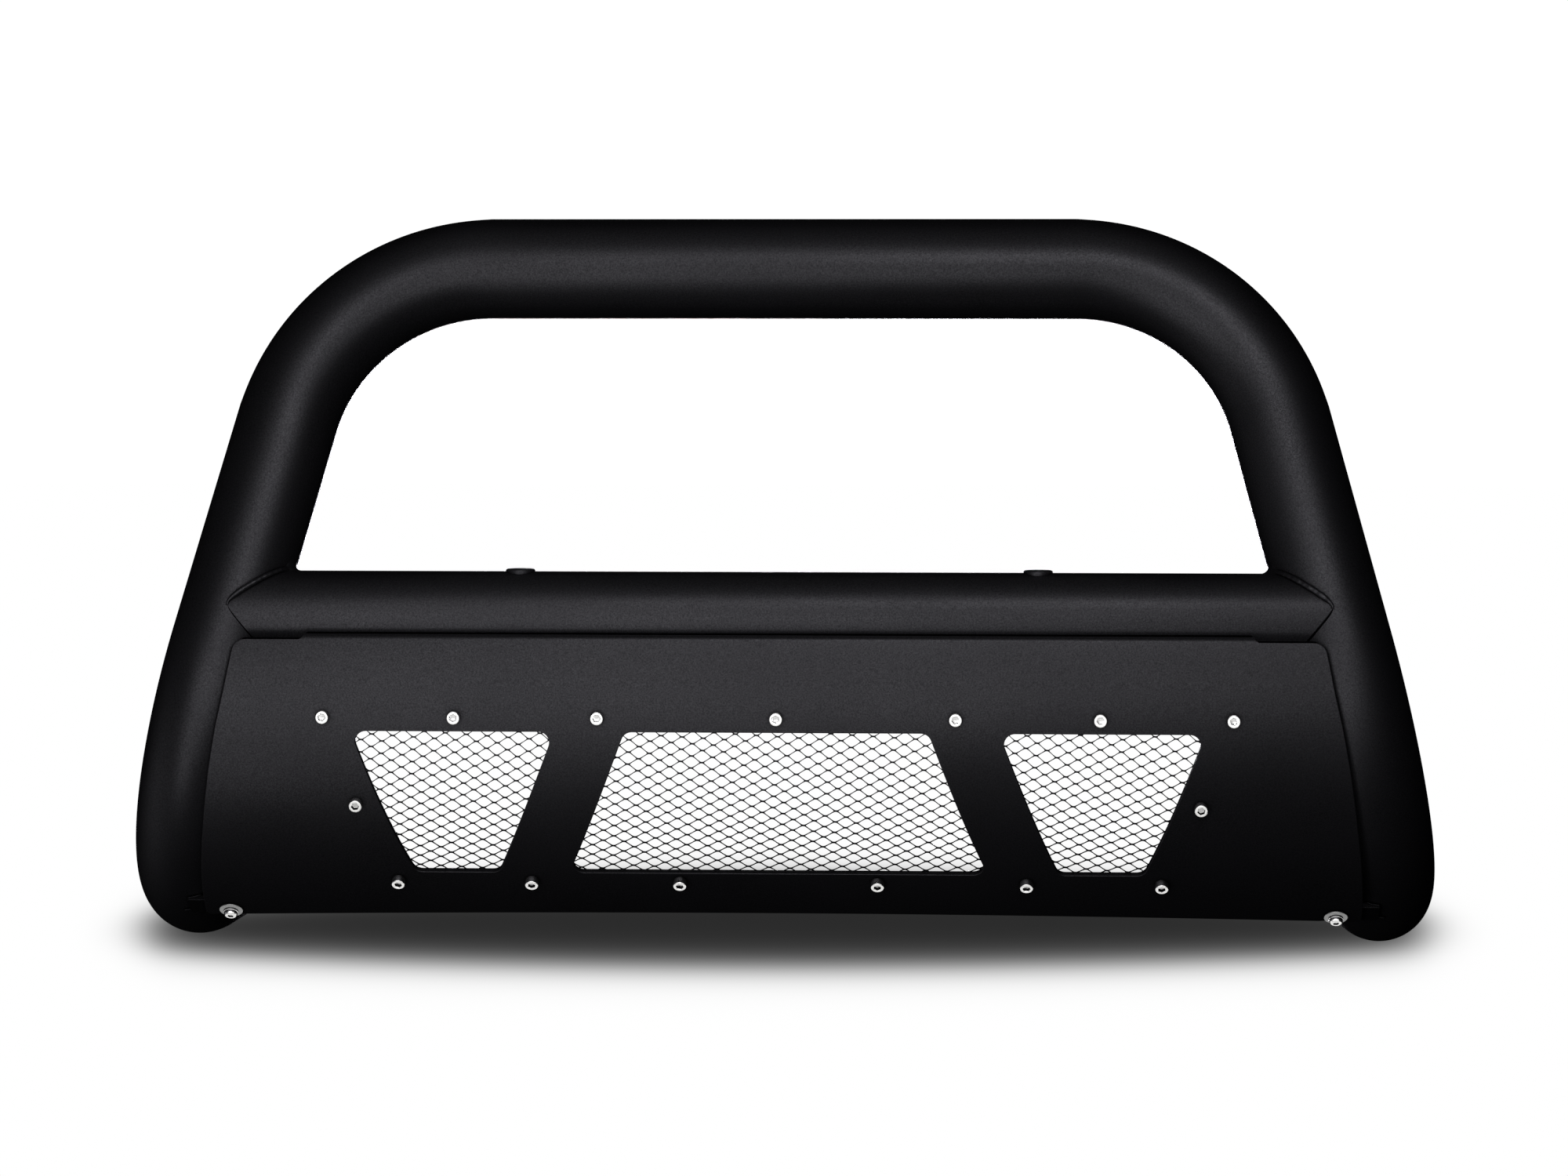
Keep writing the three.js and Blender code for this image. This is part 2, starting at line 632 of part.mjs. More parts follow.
function makeMeshInsert({ outline, window, roll, screws }) {
  const rows = Array.from({ length: MESH_STRIPS + 1 },
    (_, k) => lerp(MESH_TOP, MESH_FOOT, k / MESH_STRIPS));
  const spans = (s) => [spanAt(outline, (s - MESH_TOP) / (MESH_FOOT - MESH_TOP))];
  let sheet = rolledSheet(rows, spans, BEHIND_PLATE, MESH_BACK);
  for (const [x, s] of screws) {
    sheet = sheet.subtract(normalRod(
      x, s, MESH_HOLE_R, MESH_BACK - HOLE_OVERRUN, BEHIND_PLATE + HOLE_OVERRUN, 8));
  }
  return sheet.subtract(diamondPattern(window, degToRad(roll)));
}

for (const insert of INSERTS) {
  addPart(`mesh_insert_${insert.label}`, makeMeshInsert(insert), MESH_BLACK);
}

// ---------------------------------------------------------------- fasteners
// Made along +Y, head outwards, with the seating face at y = 0.
const NUT_R = 5.77;             // 10 mm across flats
const NUT_BORE_R = 3.35;
const NUT_H = 6;
const NUT_FLANGE_R = 7.1;
const NUT_FLANGE_T = 1.2;
const THIN_NUT_H = 2.7;         // thin nuts of the mesh screws
const WASHER_BORE_R = HOLE_R;
const FENDER_R = 9;
const FENDER_T = 1.4;
const LOCK_R = 5.6;
const LOCK_T = 1.6;
const LOCK_SLIT = { length: 4, width: 0.9, tilt: 0.5, radius: 4.6 };
const CAP_HEAD = {
  radius: 5, height: 6, bevel: 0.5,
  socketR: 2.89,                // 5 mm across flats
  socketDepth: 3, socketOverrun: 1, shankLength: 9.6,
};
const BUTTON_HEAD = {
  radius: 5.25, height: 3.3,
  domeSweep: (Math.PI / 2) * 0.72, domeSteps: 3,
  socketR: 2.31, socketDepth: 2, socketOverrun: 1.2, shankLength: 24,
};

// Screw with a hexagon socket, from its head's profile and sizes.
function socketScrew(profile, { height, socketR, socketDepth, socketOverrun, shankLength }) {
  const shank = cylinder(SHANK_R, 0.5 - shankLength, 0.5, 8);
  const socket = cylinder(socketR, height - socketDepth, height + socketOverrun, 6);
  return toManifold(lathe(profile, 12)).add(toManifold(shank)).subtract(toManifold(socket));
}

function capScrew() {
  const { radius, height, bevel } = CAP_HEAD;
  return socketScrew([
    [0, 0], [radius, 0], [radius, height - bevel], [radius - bevel, height], [0, height],
  ], CAP_HEAD);
}

function buttonBolt() {
  const { radius, height, domeSweep, domeSteps } = BUTTON_HEAD;
  const profile = [[0, 0], [radius, 0]];
  for (let k = 1; k <= domeSteps; k++) {
    const angle = (k / domeSteps) * domeSweep;
    profile.push([radius * Math.cos(angle), height * Math.sin(angle) / Math.sin(domeSweep)]);
  }
  profile.push([0, height]);
  return socketScrew(profile, BUTTON_HEAD);
}

const nutBore = (height) => toManifold(cylinder(NUT_BORE_R, -height - 2, 2, 8));

function flangeNut() {
  const hex = cylinder(NUT_R, -NUT_H, 0, 6);
  const flange = cylinder(NUT_FLANGE_R, -NUT_FLANGE_T, 0, 12);
  return toManifold(hex).add(toManifold(flange)).subtract(nutBore(NUT_H));
}

function thinNut() {
  const hex = cylinder(NUT_R, -THIN_NUT_H, 0, 6);
  hex.rotateY(Math.PI / 6);     // a flat side faces the plate's upper edge
  return toManifold(hex).subtract(nutBore(THIN_NUT_H));
}

function washer(outer, thickness) {
  return toManifold(lathe([
    [WASHER_BORE_R, 0], [outer, 0], [outer, thickness],
    [WASHER_BORE_R, thickness], [WASHER_BORE_R, 0],
  ], 16));
}

function lockWasher() {
  const slit = new THREE.BoxGeometry(LOCK_SLIT.length, LOCK_T * 3, LOCK_SLIT.width);
  slit.rotateX(LOCK_SLIT.tilt);
  slit.translate(LOCK_SLIT.radius, LOCK_T / 2, 0);
  return washer(LOCK_R, LOCK_T).subtract(toManifold(slit));
}

const meshScrew = capScrew();
const meshNut = thinNut();
const heavyNut = flangeNut();
for (const { label, screws } of INSERTS) {
  screws.forEach(([x, s], i) => {
    addPart(`mesh_screw_${label}_${i + 1}`, seat(meshScrew, x, s, GAP), STAINLESS);
    addPart(`mesh_nut_${label}_${i + 1}`, seat(meshNut, x, s, MESH_BACK - GAP * 2), ZINC);
  });
}

// ---------------------------------------------------------------- lower tabs and bolts
const TAB_T = 5;
const TAB_X = [402, 453];
const TAB_ROWS = [237.3, 244, 250.5, 257];    // s
const TAB_BACK = BEHIND_PLATE - TAB_T;

function makeLowerTab(side) {
  const span = TAB_X.map((x) => side * x).sort((a, b) => a - b);
  return largestPiece(rolledSheet(TAB_ROWS, () => [span], BEHIND_PLATE, TAB_BACK)
    .subtract(deepDrill(side * BOLT_X, BOLT_S))
    .subtract(hoopCutter));
}

const fenderWasher = washer(FENDER_R, FENDER_T);
const splitWasher = lockWasher();
const lowerBolt = buttonBolt();
for (const [side, label] of SIDES) {
  addPart(`lower_plate_tab_${label}`, makeLowerTab(side), POWDER);
  const addAtBolt = (name, solid, offset, look) => (
    addPart(`lower_${name}_${label}`, seat(solid, side * BOLT_X, BOLT_S, offset), look));
  addAtBolt('fender_washer', fenderWasher, GAP, STAINLESS);
  addAtBolt('lock_washer', splitWasher, GAP * 2 + FENDER_T, STAINLESS);
  addAtBolt('button_bolt', lowerBolt, GAP * 3 + FENDER_T + LOCK_T, STAINLESS);
  addAtBolt('bolt_nut', heavyNut, TAB_BACK - GAP, ZINC);
}

// ---------------------------------------------------------------- upper brackets
// Bent strips: one leg behind the plate, the other under the cross tube.
const BRACKET_T = 3;
const BRACKET_W = 34;
const BRACKET_BACK = BEHIND_PLATE - BRACKET_T;
const BRACKET_REACH = 12;       // rear edge, behind the cross tube's axis
const BRACKET_FRONT_S = [54, 48, 42, 36, 30];
const BRACKET_BACK_S = [34, 42, 48, 54];
const BRACKET_CORNER_S = 21.5;  // outer corner takes its Y from the plate here
const BRACKET_CORNER_SHIFT = 0.3;
const BRACKET_INNER_S = 30;     // inner corner likewise
const STUD_NUT_GAP = 0.6;

function makeUpperBracket(side) {
  const profilePoint = (s, offset) => {
    const { y, z } = onPlate(0, s, offset);
    return new THREE.Vector2(y, z);
  };
  const top = CROSS_Z - CROSS_R - GAP;
  const rear = CROSS_Y + BRACKET_REACH;
  const cornerY = onPlate(0, BRACKET_CORNER_S, BEHIND_PLATE).y + BRACKET_CORNER_SHIFT;
  const profile = new THREE.Shape([
    ...BRACKET_FRONT_S.map((s) => profilePoint(s, BEHIND_PLATE)),
    new THREE.Vector2(cornerY, top),
    new THREE.Vector2(rear, top),
    new THREE.Vector2(rear, top - BRACKET_T),
    new THREE.Vector2(onPlate(0, BRACKET_INNER_S, BRACKET_BACK).y, top - BRACKET_T),
    ...BRACKET_BACK_S.map((s) => profilePoint(s, BRACKET_BACK)),
  ]);
  return extrudeAlongX(profile, BRACKET_W, vec(side * STUD_X - BRACKET_W / 2, 0, 0), 12)
    .subtract(deepDrill(side * STUD_X, STUD_S));
}

for (const [side, label] of SIDES) {
  addPart(`upper_plate_bracket_${label}`, makeUpperBracket(side), POWDER);
  addPart(`upper_stud_nut_${label}`,
    seat(heavyNut, side * STUD_X, STUD_S, BRACKET_BACK - STUD_NUT_GAP), ZINC);
}

// ---------------------------------------------------------------- leg mounting plates
// Upright plates on the inner side of the legs' rear runs.
const EAR_T = 8;
const EAR_Y = [66, 206];
const EAR_Z = [-508, -458];
const EAR_CORNER_R = 12;        // rear corners
const EAR_OVERLAP = 1.6;        // outer face, outward of the tube's inner side at its end
const SLOT_W = 14;
const SLOT_LEN = 26;            // along Z
const SLOT_Y = [152, 186];
const END_ROOM_LEN = 12;        // room cut for the end cap
const END_ROOM_SHIFT = -1.5;

function makeLegPlate(side) {
  const width = EAR_Y[1] - EAR_Y[0];
  const height = EAR_Z[1] - EAR_Z[0];
  const r = EAR_CORNER_R;
  const shape = new THREE.Shape();
  shape.moveTo(0, 0);
  shape.lineTo(width - r, 0);
  shape.absarc(width - r, r, r, -Math.PI / 2, 0, false);
  shape.lineTo(width, height - r);
  shape.absarc(width - r, height - r, r, 0, Math.PI / 2, false);
  shape.lineTo(0, height);

  const slotR = SLOT_W / 2;
  const slotHalf = SLOT_LEN / 2 - slotR;
  for (const slotY of SLOT_Y) {
    const x = slotY - EAR_Y[0];
    const slot = new THREE.Path();
    slot.moveTo(x - slotR, height / 2 - slotHalf);
    slot.absarc(x, height / 2 - slotHalf, slotR, Math.PI, 2 * Math.PI, false);
    slot.absarc(x, height / 2 + slotHalf, slotR, 0, Math.PI, false);
    shape.holes.push(slot);
  }

  const outerX = rearEnd.x - TUBE_R + EAR_OVERLAP;
  const corner = vec(side > 0 ? outerX - EAR_T : -outerX, EAR_Y[0], EAR_Z[0]);
  const endRoom = placeAtLegEnd(
    new THREE.CylinderGeometry(TUBE_R + GAP, TUBE_R + GAP, END_ROOM_LEN, 24),
    side, END_ROOM_SHIFT);
  return largestPiece(
    extrudeAlongX(shape, EAR_T, corner, 3).subtract(hoopCutter).subtract(endRoom));
}

for (const [side, label] of SIDES) {
  addPart(`leg_mount_plate_${label}`, makeLegPlate(side), POWDER);
}

export default guard;
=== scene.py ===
"""A front grille guard: bent 3 in hoop, coped 2.5 in cross tube and a rolled skid plate whose three
windows are backed with expanded metal.

Lengths are millimetres in a design frame whose origin is the middle of the hoop's top bar: X runs
across, -Y is the front and Z is up. Every piece rides on the part's one body.
"""
import json
import math

import bmesh
import bpy
import numpy as np
from mathutils import Matrix, Vector
from mathutils.geometry import delaunay_2d_cdt

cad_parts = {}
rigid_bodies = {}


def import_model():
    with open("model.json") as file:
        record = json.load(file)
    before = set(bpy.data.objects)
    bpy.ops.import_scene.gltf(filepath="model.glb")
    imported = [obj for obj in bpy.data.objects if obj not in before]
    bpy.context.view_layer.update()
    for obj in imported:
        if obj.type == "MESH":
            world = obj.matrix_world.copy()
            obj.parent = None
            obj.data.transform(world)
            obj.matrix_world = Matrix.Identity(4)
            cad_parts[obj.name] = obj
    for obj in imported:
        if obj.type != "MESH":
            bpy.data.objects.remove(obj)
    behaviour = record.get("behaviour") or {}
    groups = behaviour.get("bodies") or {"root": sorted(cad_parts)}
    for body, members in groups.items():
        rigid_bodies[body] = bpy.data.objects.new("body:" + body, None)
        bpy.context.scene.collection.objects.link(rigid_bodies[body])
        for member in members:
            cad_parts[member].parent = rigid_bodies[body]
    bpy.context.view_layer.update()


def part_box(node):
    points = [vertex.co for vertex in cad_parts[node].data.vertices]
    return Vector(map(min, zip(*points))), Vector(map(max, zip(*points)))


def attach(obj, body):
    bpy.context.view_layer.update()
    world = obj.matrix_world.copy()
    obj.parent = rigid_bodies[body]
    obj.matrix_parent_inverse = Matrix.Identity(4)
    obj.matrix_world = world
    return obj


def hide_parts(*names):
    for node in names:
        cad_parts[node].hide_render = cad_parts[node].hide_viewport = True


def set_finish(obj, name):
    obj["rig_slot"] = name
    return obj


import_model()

# ------------------------------------------------------------------ dimensions (mm)
SIDES = ((-1, "left"), (1, "right"))
GAP = 0.3                                  # clearance between stacked pieces

# hoop: top bar, two leaning legs, two runs to the rear
TUBE_R, TUBE_WALL = 38.1, 2.0
TOP_HALF, LEG_LENGTH, REAR_LENGTH = 347.05, 522.06, 280.0
LEAN, SPLAY = math.radians(16.79), math.radians(13.70)
REAR_TOE = -0.035                          # sideways step per unit of rearward run
TOP_BEND_R, LOW_BEND_R = 156.94, 163.65
BEND_FLATTENING = 1.5                      # how far the outside of a bend is pulled in

CROSS_R, CROSS_WALL, CROSS_Y, CROSS_Z = 31.75, 2.0, -84.8, -260.0
PLUG_X, PLUG_CAP_T = 193.5, 1.8

# Skid plate. A place on it is (x, drop, lift): drop is the distance down the rolled surface,
# lift the height off its front face along the outward normal.
PLATE_AXIS_Y, PLATE_AXIS_Z, PLATE_R, PLATE_T = 72.14, -327.06, 202.0, 2.5
PLATE_TOP_ANGLE = math.radians(16.3)       # of the surface's normal at drop 0
BEND_DROP, LIP_BEND_R, LIP_ANGLE = 7.0, 4.7, math.radians(74.0)
LIP_LENGTH, LIP_HALF = 1.6, 352.0
LIP_TOP = BEND_DROP - LIP_ANGLE * LIP_BEND_R - LIP_LENGTH
TOP_CORNER_R, FOOT_CORNER_R = 10.0, 4.0
# side edge: (drop, half width)
PLATE_EDGE = [(BEND_DROP, 403.0), (45, 410.3), (73, 416.7), (105, 422.8), (131, 427.0),
              (165, 432.0), (193, 435.7), (218.5, 438.2), (250, 440.3)]
FOOT_DROP, FOOT_HALF = PLATE_EDGE[-1]
# the foot is cut to a shallow arch: where it starts, its middle, its rise at x = 400
ARCH_FROM, ARCH_MIDDLE, ARCH_RISE = 236.0, -3.1, 6.6
BEHIND = -PLATE_T - GAP                    # lift of whatever sits behind the plate

# windows and mesh panels: the x spans of the top edge and of the foot edge
WINDOW_TOP, WINDOW_FOOT, WINDOW_R = 75.5, 196.3, 8.0
MESH_TOP, MESH_FOOT, MESH_T = 54.0, 215.0, 1.5


def three_panels(middle, right):
    left = tuple((-b, -a) for a, b in right)
    return {"left": left, "centre": middle, "right": right}


WINDOWS = three_panels(middle=((-112.3, 112.3), (-157.0, 157.0)),
                       right=((164.5, 315.5), (209.9, 273.3)))
MESHES = three_panels(middle=((-144.0, 144.0), (-166.0, 166.0)),
                      right=((150.5, 348.5), (172.5, 298.5)))
# expanded metal in (x, drop): lattice origin, long-way step, short-way step
LATTICE = {
    "left": ((-241.64, 130.61), (15.56, 1.054), (-0.744, 9.626)),
    "centre": ((-2.92, 135.65), (15.619, 0.930), (-0.662, 9.469)),
    "right": ((243.23, 131.26), (15.533, 1.618), (-0.775, 9.499)),
}
BOND_HALF_LENGTH, BOND_HALF_HEIGHT = 1.42, 0.60

# mesh screws: (x, drop)
PANEL_SCREWS = {
    "left": [(-336, 64.7), (-238.5, 64.7), (-313.5, 132), (-287, 204.5), (-186, 204.5)],
    "centre": [(-132.2, 64.7), (0, 64.7), (132.2, 64.7), (-74.3, 204.5), (74.3, 204.5)],
    "right": [(238.5, 64.7), (336, 64.7), (313.5, 132), (186, 204.5), (287, 204.5)],
}
SCREWS = [(f"{panel}_{number}", x, drop) for panel, places in PANEL_SCREWS.items()
          for number, (x, drop) in enumerate(places, 1)]
HOLE_R, THREAD_R = 3.4, 3.0
LOWER_BOLT_X, LOWER_BOLT_DROP = 420.0, 245.3
STUD_X, STUD_DROP = 288.0, 42.0
TAB_T, BRACKET_T = 5.0, 3.0
WASHER_LIFT, WASHER_T, LOCK_WASHER_T = 0.15, 1.5, 1.75

# the design frame's place in the part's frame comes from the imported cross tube
low_corner, high_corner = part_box("cross_tube")
OFFSET = np.array([0.0, (low_corner.y + high_corner.y) * 500.0 - CROSS_Y,
                   (low_corner.z + high_corner.z) * 500.0 - CROSS_Z])


def unit(vector):
    vector = np.asarray(vector, float)
    return vector / np.linalg.norm(vector)


def ramp(value):
    return float(np.clip(value, 0, 1))


def smooth_ramp(value):
    t = ramp(value)
    return t * t * (3 - 2 * t)


def mirror(points, side):
    return np.asarray(points, float) * np.array([side, 1.0, 1.0])


# the right half's centre line
LEG_DIR = np.array([math.sin(SPLAY), -math.sin(LEAN) * math.cos(SPLAY),
                    -math.cos(LEAN) * math.cos(SPLAY)])
REAR_DIR = unit([REAR_TOE, 1.0, 0.0])
TOP_VERTEX = np.array([TOP_HALF, 0.0, 0.0])
LOW_VERTEX = TOP_VERTEX + LEG_LENGTH * LEG_DIR
REAR_END = LOW_VERTEX + REAR_LENGTH * REAR_DIR


# ------------------------------------------------------------------ shaders
class Shader:
    """A cleared node tree with its output node, and short calls for the nodes used here."""

    def __init__(self, owner, output="OutputMaterial"):
        owner.use_nodes = True
        self.tree = owner.node_tree
        self.tree.nodes.clear()
        self.surface = self.node(output).inputs[0]

    def node(self, kind):
        return self.tree.nodes.new("ShaderNode" + kind)

    def link(self, source, socket):
        self.tree.links.new(source, socket)

    def noise(self, coords, scale, detail=2.0, roughness=0.5):
        node = self.node("TexNoise")
        node.inputs["Scale"].default_value = scale
        node.inputs["Detail"].default_value = detail
        node.inputs["Roughness"].default_value = roughness
        self.link(coords, node.inputs["Vector"])
        return node.outputs["Fac"]

    def remap(self, value, to=(0.0, 1.0), source=(0.3, 0.7)):
        node = self.node("MapRange")
        for name, limit in zip(("From Min", "From Max", "To Min", "To Max"), (*source, *to)):
            node.inputs[name].default_value = limit
        self.link(value, node.inputs["Value"])
        return node.outputs["Result"]

    def mix(self, factor, first, second):
        """Colour mix; each colour is an RGB tuple or an output."""
        node = self.node("Mix")
        node.data_type = "RGBA"
        self.link(factor, node.inputs["Factor"])
        for name, colour in (("A", first), ("B", second)):
            socket = next(i for i in node.inputs if i.name == name and i.type == "RGBA")
            if isinstance(colour, tuple):
                socket.default_value = (*colour, 1)
            else:
                self.link(colour, socket)
        return next(o for o in node.outputs if o.type == "RGBA")

    def math(self, operation, *values):
        node = self.node("Math")
        node.operation = operation
        for socket, value in zip(node.inputs, values):
            if isinstance(value, (int, float)):
                socket.default_value = value
            else:
                self.link(value, socket)
        return node.outputs[0]

    def dot(self, vector, axis):
        node = self.node("VectorMath")
        node.operation = "DOT_PRODUCT"
        self.link(vector, node.inputs[0])
        node.inputs[1].default_value = tuple(axis)
        return node.outputs["Value"]

    def bump(self, height, distance, strength, normal=None):
        node = self.node("Bump")
        node.inputs["Distance"].default_value = distance
        node.inputs["Strength"].default_value = strength
        self.link(height, node.inputs["Height"])
        if normal is not None:
            self.link(normal, node.inputs["Normal"])
        return node.outputs["Normal"]

    def openness(self, samples, distance):
        """Ambient occlusion: low in tight corners."""
        node = self.node("AmbientOcclusion")
        node.samples = samples
        node.inputs["Distance"].default_value = distance
        return node.outputs["AO"]


def surface_material(name):
    """A material with a Principled shader; also its shader's inputs and object coordinates."""
    material = bpy.data.materials.new(name)
    shader = Shader(material)
    principled = shader.node("BsdfPrincipled")
    shader.link(principled.outputs[0], shader.surface)
    coords = shader.node("TexCoord").outputs["Object"]
    return material, shader, principled.inputs, coords


def powder_coat(name, base=0.0075, roughness=0.43, specular=0.5, corner=0.0035):
    """Fine-texture black coat: orange peel, flake grain, cloudiness; painted shade darkens its
    colour and shine in tight corners.
    """
    material, sh, inputs, coords = surface_material(name)

    def black(level, blue):
        return (base * level, base * level, base * blue)
    grain = sh.noise(coords, scale=900.0, detail=1.5, roughness=0.6)
    flake = sh.noise(coords, scale=2300.0, detail=1.0)
    peel = sh.noise(coords, scale=260.0, roughness=0.55)
    cloud = sh.noise(coords, scale=9.0, detail=3.0, roughness=0.55)
    colour = sh.mix(sh.remap(grain), black(0.55, blue=0.58), black(1.6, blue=1.66))
    colour = sh.mix(sh.remap(cloud), colour, black(1.05, blue=1.12))
    # painted shade: colour and shine fall off where ambient occlusion finds tight corners
    painted_shade_factor = sh.remap(sh.openness(samples=5, distance=corner),
                       source=(0.42, 0.86), to=(0.10, 1.0))
    colour = sh.mix(painted_shade_factor, black(0.1, blue=0.1), colour)
    sh.link(colour, inputs["Base Color"])
    shine = sh.math("MULTIPLY", sh.remap(grain, source=(0.28, 0.72), to=(0.72, 1.3)),
                    sh.remap(flake, source=(0.35, 0.75), to=(0.9, 1.25)))
    shine = sh.math("MULTIPLY", sh.math("MULTIPLY", shine, specular), painted_shade_factor)
    sh.link(shine, inputs["Specular IOR Level"])
    rough = sh.math("ADD", sh.remap(cloud, to=(-0.03, 0.03)),
                    sh.remap(grain, to=(roughness + 0.04, roughness - 0.04)))
    sh.link(rough, inputs["Roughness"])
    normal = sh.bump(peel, distance=0.00005, strength=0.55)
    normal = sh.bump(grain, distance=0.00004, strength=0.6, normal=normal)
    sh.link(normal, inputs["Normal"])
    return material


def metal(name, tint, roughness, stain, scale):
    """Fastener metal: fine grain, faint stains, painted shade in sockets, threads and corners."""
    material, sh, inputs, coords = surface_material(name)
    spots = sh.noise(coords, scale=scale, detail=3.0, roughness=0.6)
    fine = sh.noise(coords, scale=scale * 9)
    colour = sh.mix(sh.remap(spots, source=(0.35, 0.7)), tint, tuple(c * stain for c in tint))
    # painted shade: darker colour in sockets, threads and corners, found by ambient occlusion
    painted_shade_factor = sh.openness(samples=6, distance=0.005)
    colour = sh.mix(sh.remap(painted_shade_factor, source=(0.12, 0.62)), (0.07, 0.07, 0.072), colour)
    sh.link(colour, inputs["Base Color"])
    inputs["Metallic"].default_value = 1.0
    rough = sh.math("ADD", sh.remap(spots, to=(-0.05, 0.07)),
                    sh.remap(fine, to=(roughness - 0.03, roughness + 0.04)))
    sh.link(rough, inputs["Roughness"])
    sh.link(sh.bump(fine, distance=0.00001, strength=0.5), inputs["Normal"])
    return material


MATERIALS = {
    "powder_coat": powder_coat("powder_coat_fine"),
    "mesh_black": powder_coat("mesh_enamel", base=0.004, roughness=0.42, specular=0.25,
                              corner=0.0006),
    "stainless": metal("stainless_steel", tint=(0.78, 0.775, 0.76), roughness=0.20, stain=0.86,
                       scale=900.0),
    "washer": metal("stainless_rolled", tint=(0.24, 0.24, 0.237), roughness=0.30, stain=0.8,
                    scale=700.0),
    "zinc": metal("zinc_plate", tint=(0.60, 0.61, 0.63), roughness=0.34, stain=0.72,
                  scale=500.0),
    "plug_plastic": powder_coat("plug_plastic", base=0.012, roughness=0.45),
    "weld": powder_coat("powder_coat_weld", roughness=0.40, specular=0.55),
    # a darker copy of the coat for the tabs and their welds: painted shade
    "painted_shade_coat": powder_coat("powder_coat_painted_shade", base=0.0035, roughness=0.5, specular=0.16),
    # near-black coat for thin runs laid in narrow gaps: painted shadow
    "seam": powder_coat("painted_shadow_line", base=0.0006, roughness=0.9, specular=0.03),
}


# ------------------------------------------------------------------ shells
def along_path(points):
    """Distance along a polyline at each of its points."""
    lengths = np.linalg.norm(np.diff(points, axis=0), axis=1)
    return np.concatenate([[0], np.cumsum(lengths)])


def tube_rings(points, tangents, radius, sides, first, outward=None, flatten=None):
    """Rings round a path, their frames carried along it from the direction `first`.

    With `outward`, each ring is pulled in by `flatten` on that side."""
    angles = np.arange(sides) * 2 * math.pi / sides
    radius = np.broadcast_to(radius, len(points))
    across = first
    rings = []
    for k, tangent in enumerate(tangents):
        across = unit(across - tangent * (across @ tangent))
        other = np.cross(tangent, across)
        spokes = np.cos(angles)[:, None] * across + np.sin(angles)[:, None] * other
        reach = np.full(sides, radius[k], float)
        if outward is not None:
            reach -= flatten[k] * np.clip(spokes @ outward[k], 0, 1) ** 2
        rings.append(points[k] + spokes * reach[:, None])
    return rings


class Shell:
    """Collects vertices and faces of closed shells, and vertex normals where they are given."""

    def __init__(self):
        self.vertices, self.faces, self.normals = [], [], []

    def add(self, points, normals=()):
        start = len(self.vertices)
        self.vertices.extend(np.asarray(points, float).tolist())
        self.normals.extend(np.asarray(normals).tolist())
        return list(range(start, len(self.vertices)))

    def bridge(self, first, second):
        count = len(first)
        for k in range(count):
            j = (k + 1) % count
            self.faces.append((first[k], first[j], second[j], second[k]))

    def skin(self, rings, capped=False):
        for first, second in zip(rings, rings[1:]):
            self.bridge(first, second)
        if capped:
            self.faces += [tuple(rings[0]), tuple(reversed(rings[-1]))]

    def fan(self, ring, centre):
        tip = self.add([centre])[0]
        for k in range(len(ring)):
            self.faces.append((ring[k], ring[(k + 1) % len(ring)], tip))

    def lathe(self, profile, place, sides=48):
        """Turns rows of (radius, height), either of which may be a function of the angle.

        A radius of 0 is a tip. `place` takes local points to the design frame."""
        angles = np.arange(sides) * 2 * math.pi / sides

        def sample(value):
            return np.array([value(a) if callable(value) else value for a in angles])
        rings = []
        for radius, height in profile:
            if radius == 0:
                rings.append(place(np.array([[0.0, 0.0, height]]))[0])
                continue
            r = sample(radius)
            local = np.stack([r * np.cos(angles), r * np.sin(angles), sample(height)], 1)
            rings.append(self.add(place(local)))
        for first, second in zip(rings, rings[1:]):
            if isinstance(first, np.ndarray):
                self.fan(second, first)
            elif isinstance(second, np.ndarray):
                self.fan(first, second)
            else:
                self.bridge(first, second)
        return self

    def bead(self, points, radius, sides, ripple=0.10, seed=0.0, taper=5.0):
        """A laid bead: a round run with fine ripples and tapered ends."""
        points = np.asarray(points, float)
        distance = along_path(points)
        total = distance[-1]
        count = max(8, int(total / 0.6))
        u = np.linspace(0, total, count + 1)
        path = np.stack([np.interp(u, distance, points[:, k]) for k in range(3)], 1)
        smooth = path.copy()
        for k in range(3):
            smooth[3:-3, k] = np.convolve(path[:, k], np.ones(7) / 7, "valid")
        tangents = np.gradient(smooth, axis=0)
        tangents /= np.linalg.norm(tangents, axis=1)[:, None]
        end = np.clip(np.minimum(u, total - u) / taper, 0, 1)
        envelope = np.sqrt(end * (2 - end)) * 0.75 + 0.25
        pitch = 2.4
        wobble = (1 + ripple * np.sin(2 * math.pi * u / pitch) * 0.35
                  + 0.035 * np.sin(u * 0.31 + seed) + 0.03 * np.sin(u * 0.83 + seed * 2))
        # any direction that isn't along the path will do for the first frame
        first = unit(np.cross(tangents[0], [0.3, 0.5, 0.81]))
        rings = [self.add(ring) for ring in
                 tube_rings(smooth, tangents, radius * envelope * wobble, sides, first)]
        self.skin(rings)
        self.fan(rings[0], smooth[0] - tangents[0] * radius * 0.15)
        self.fan(rings[-1], smooth[-1] + tangents[-1] * radius * 0.15)


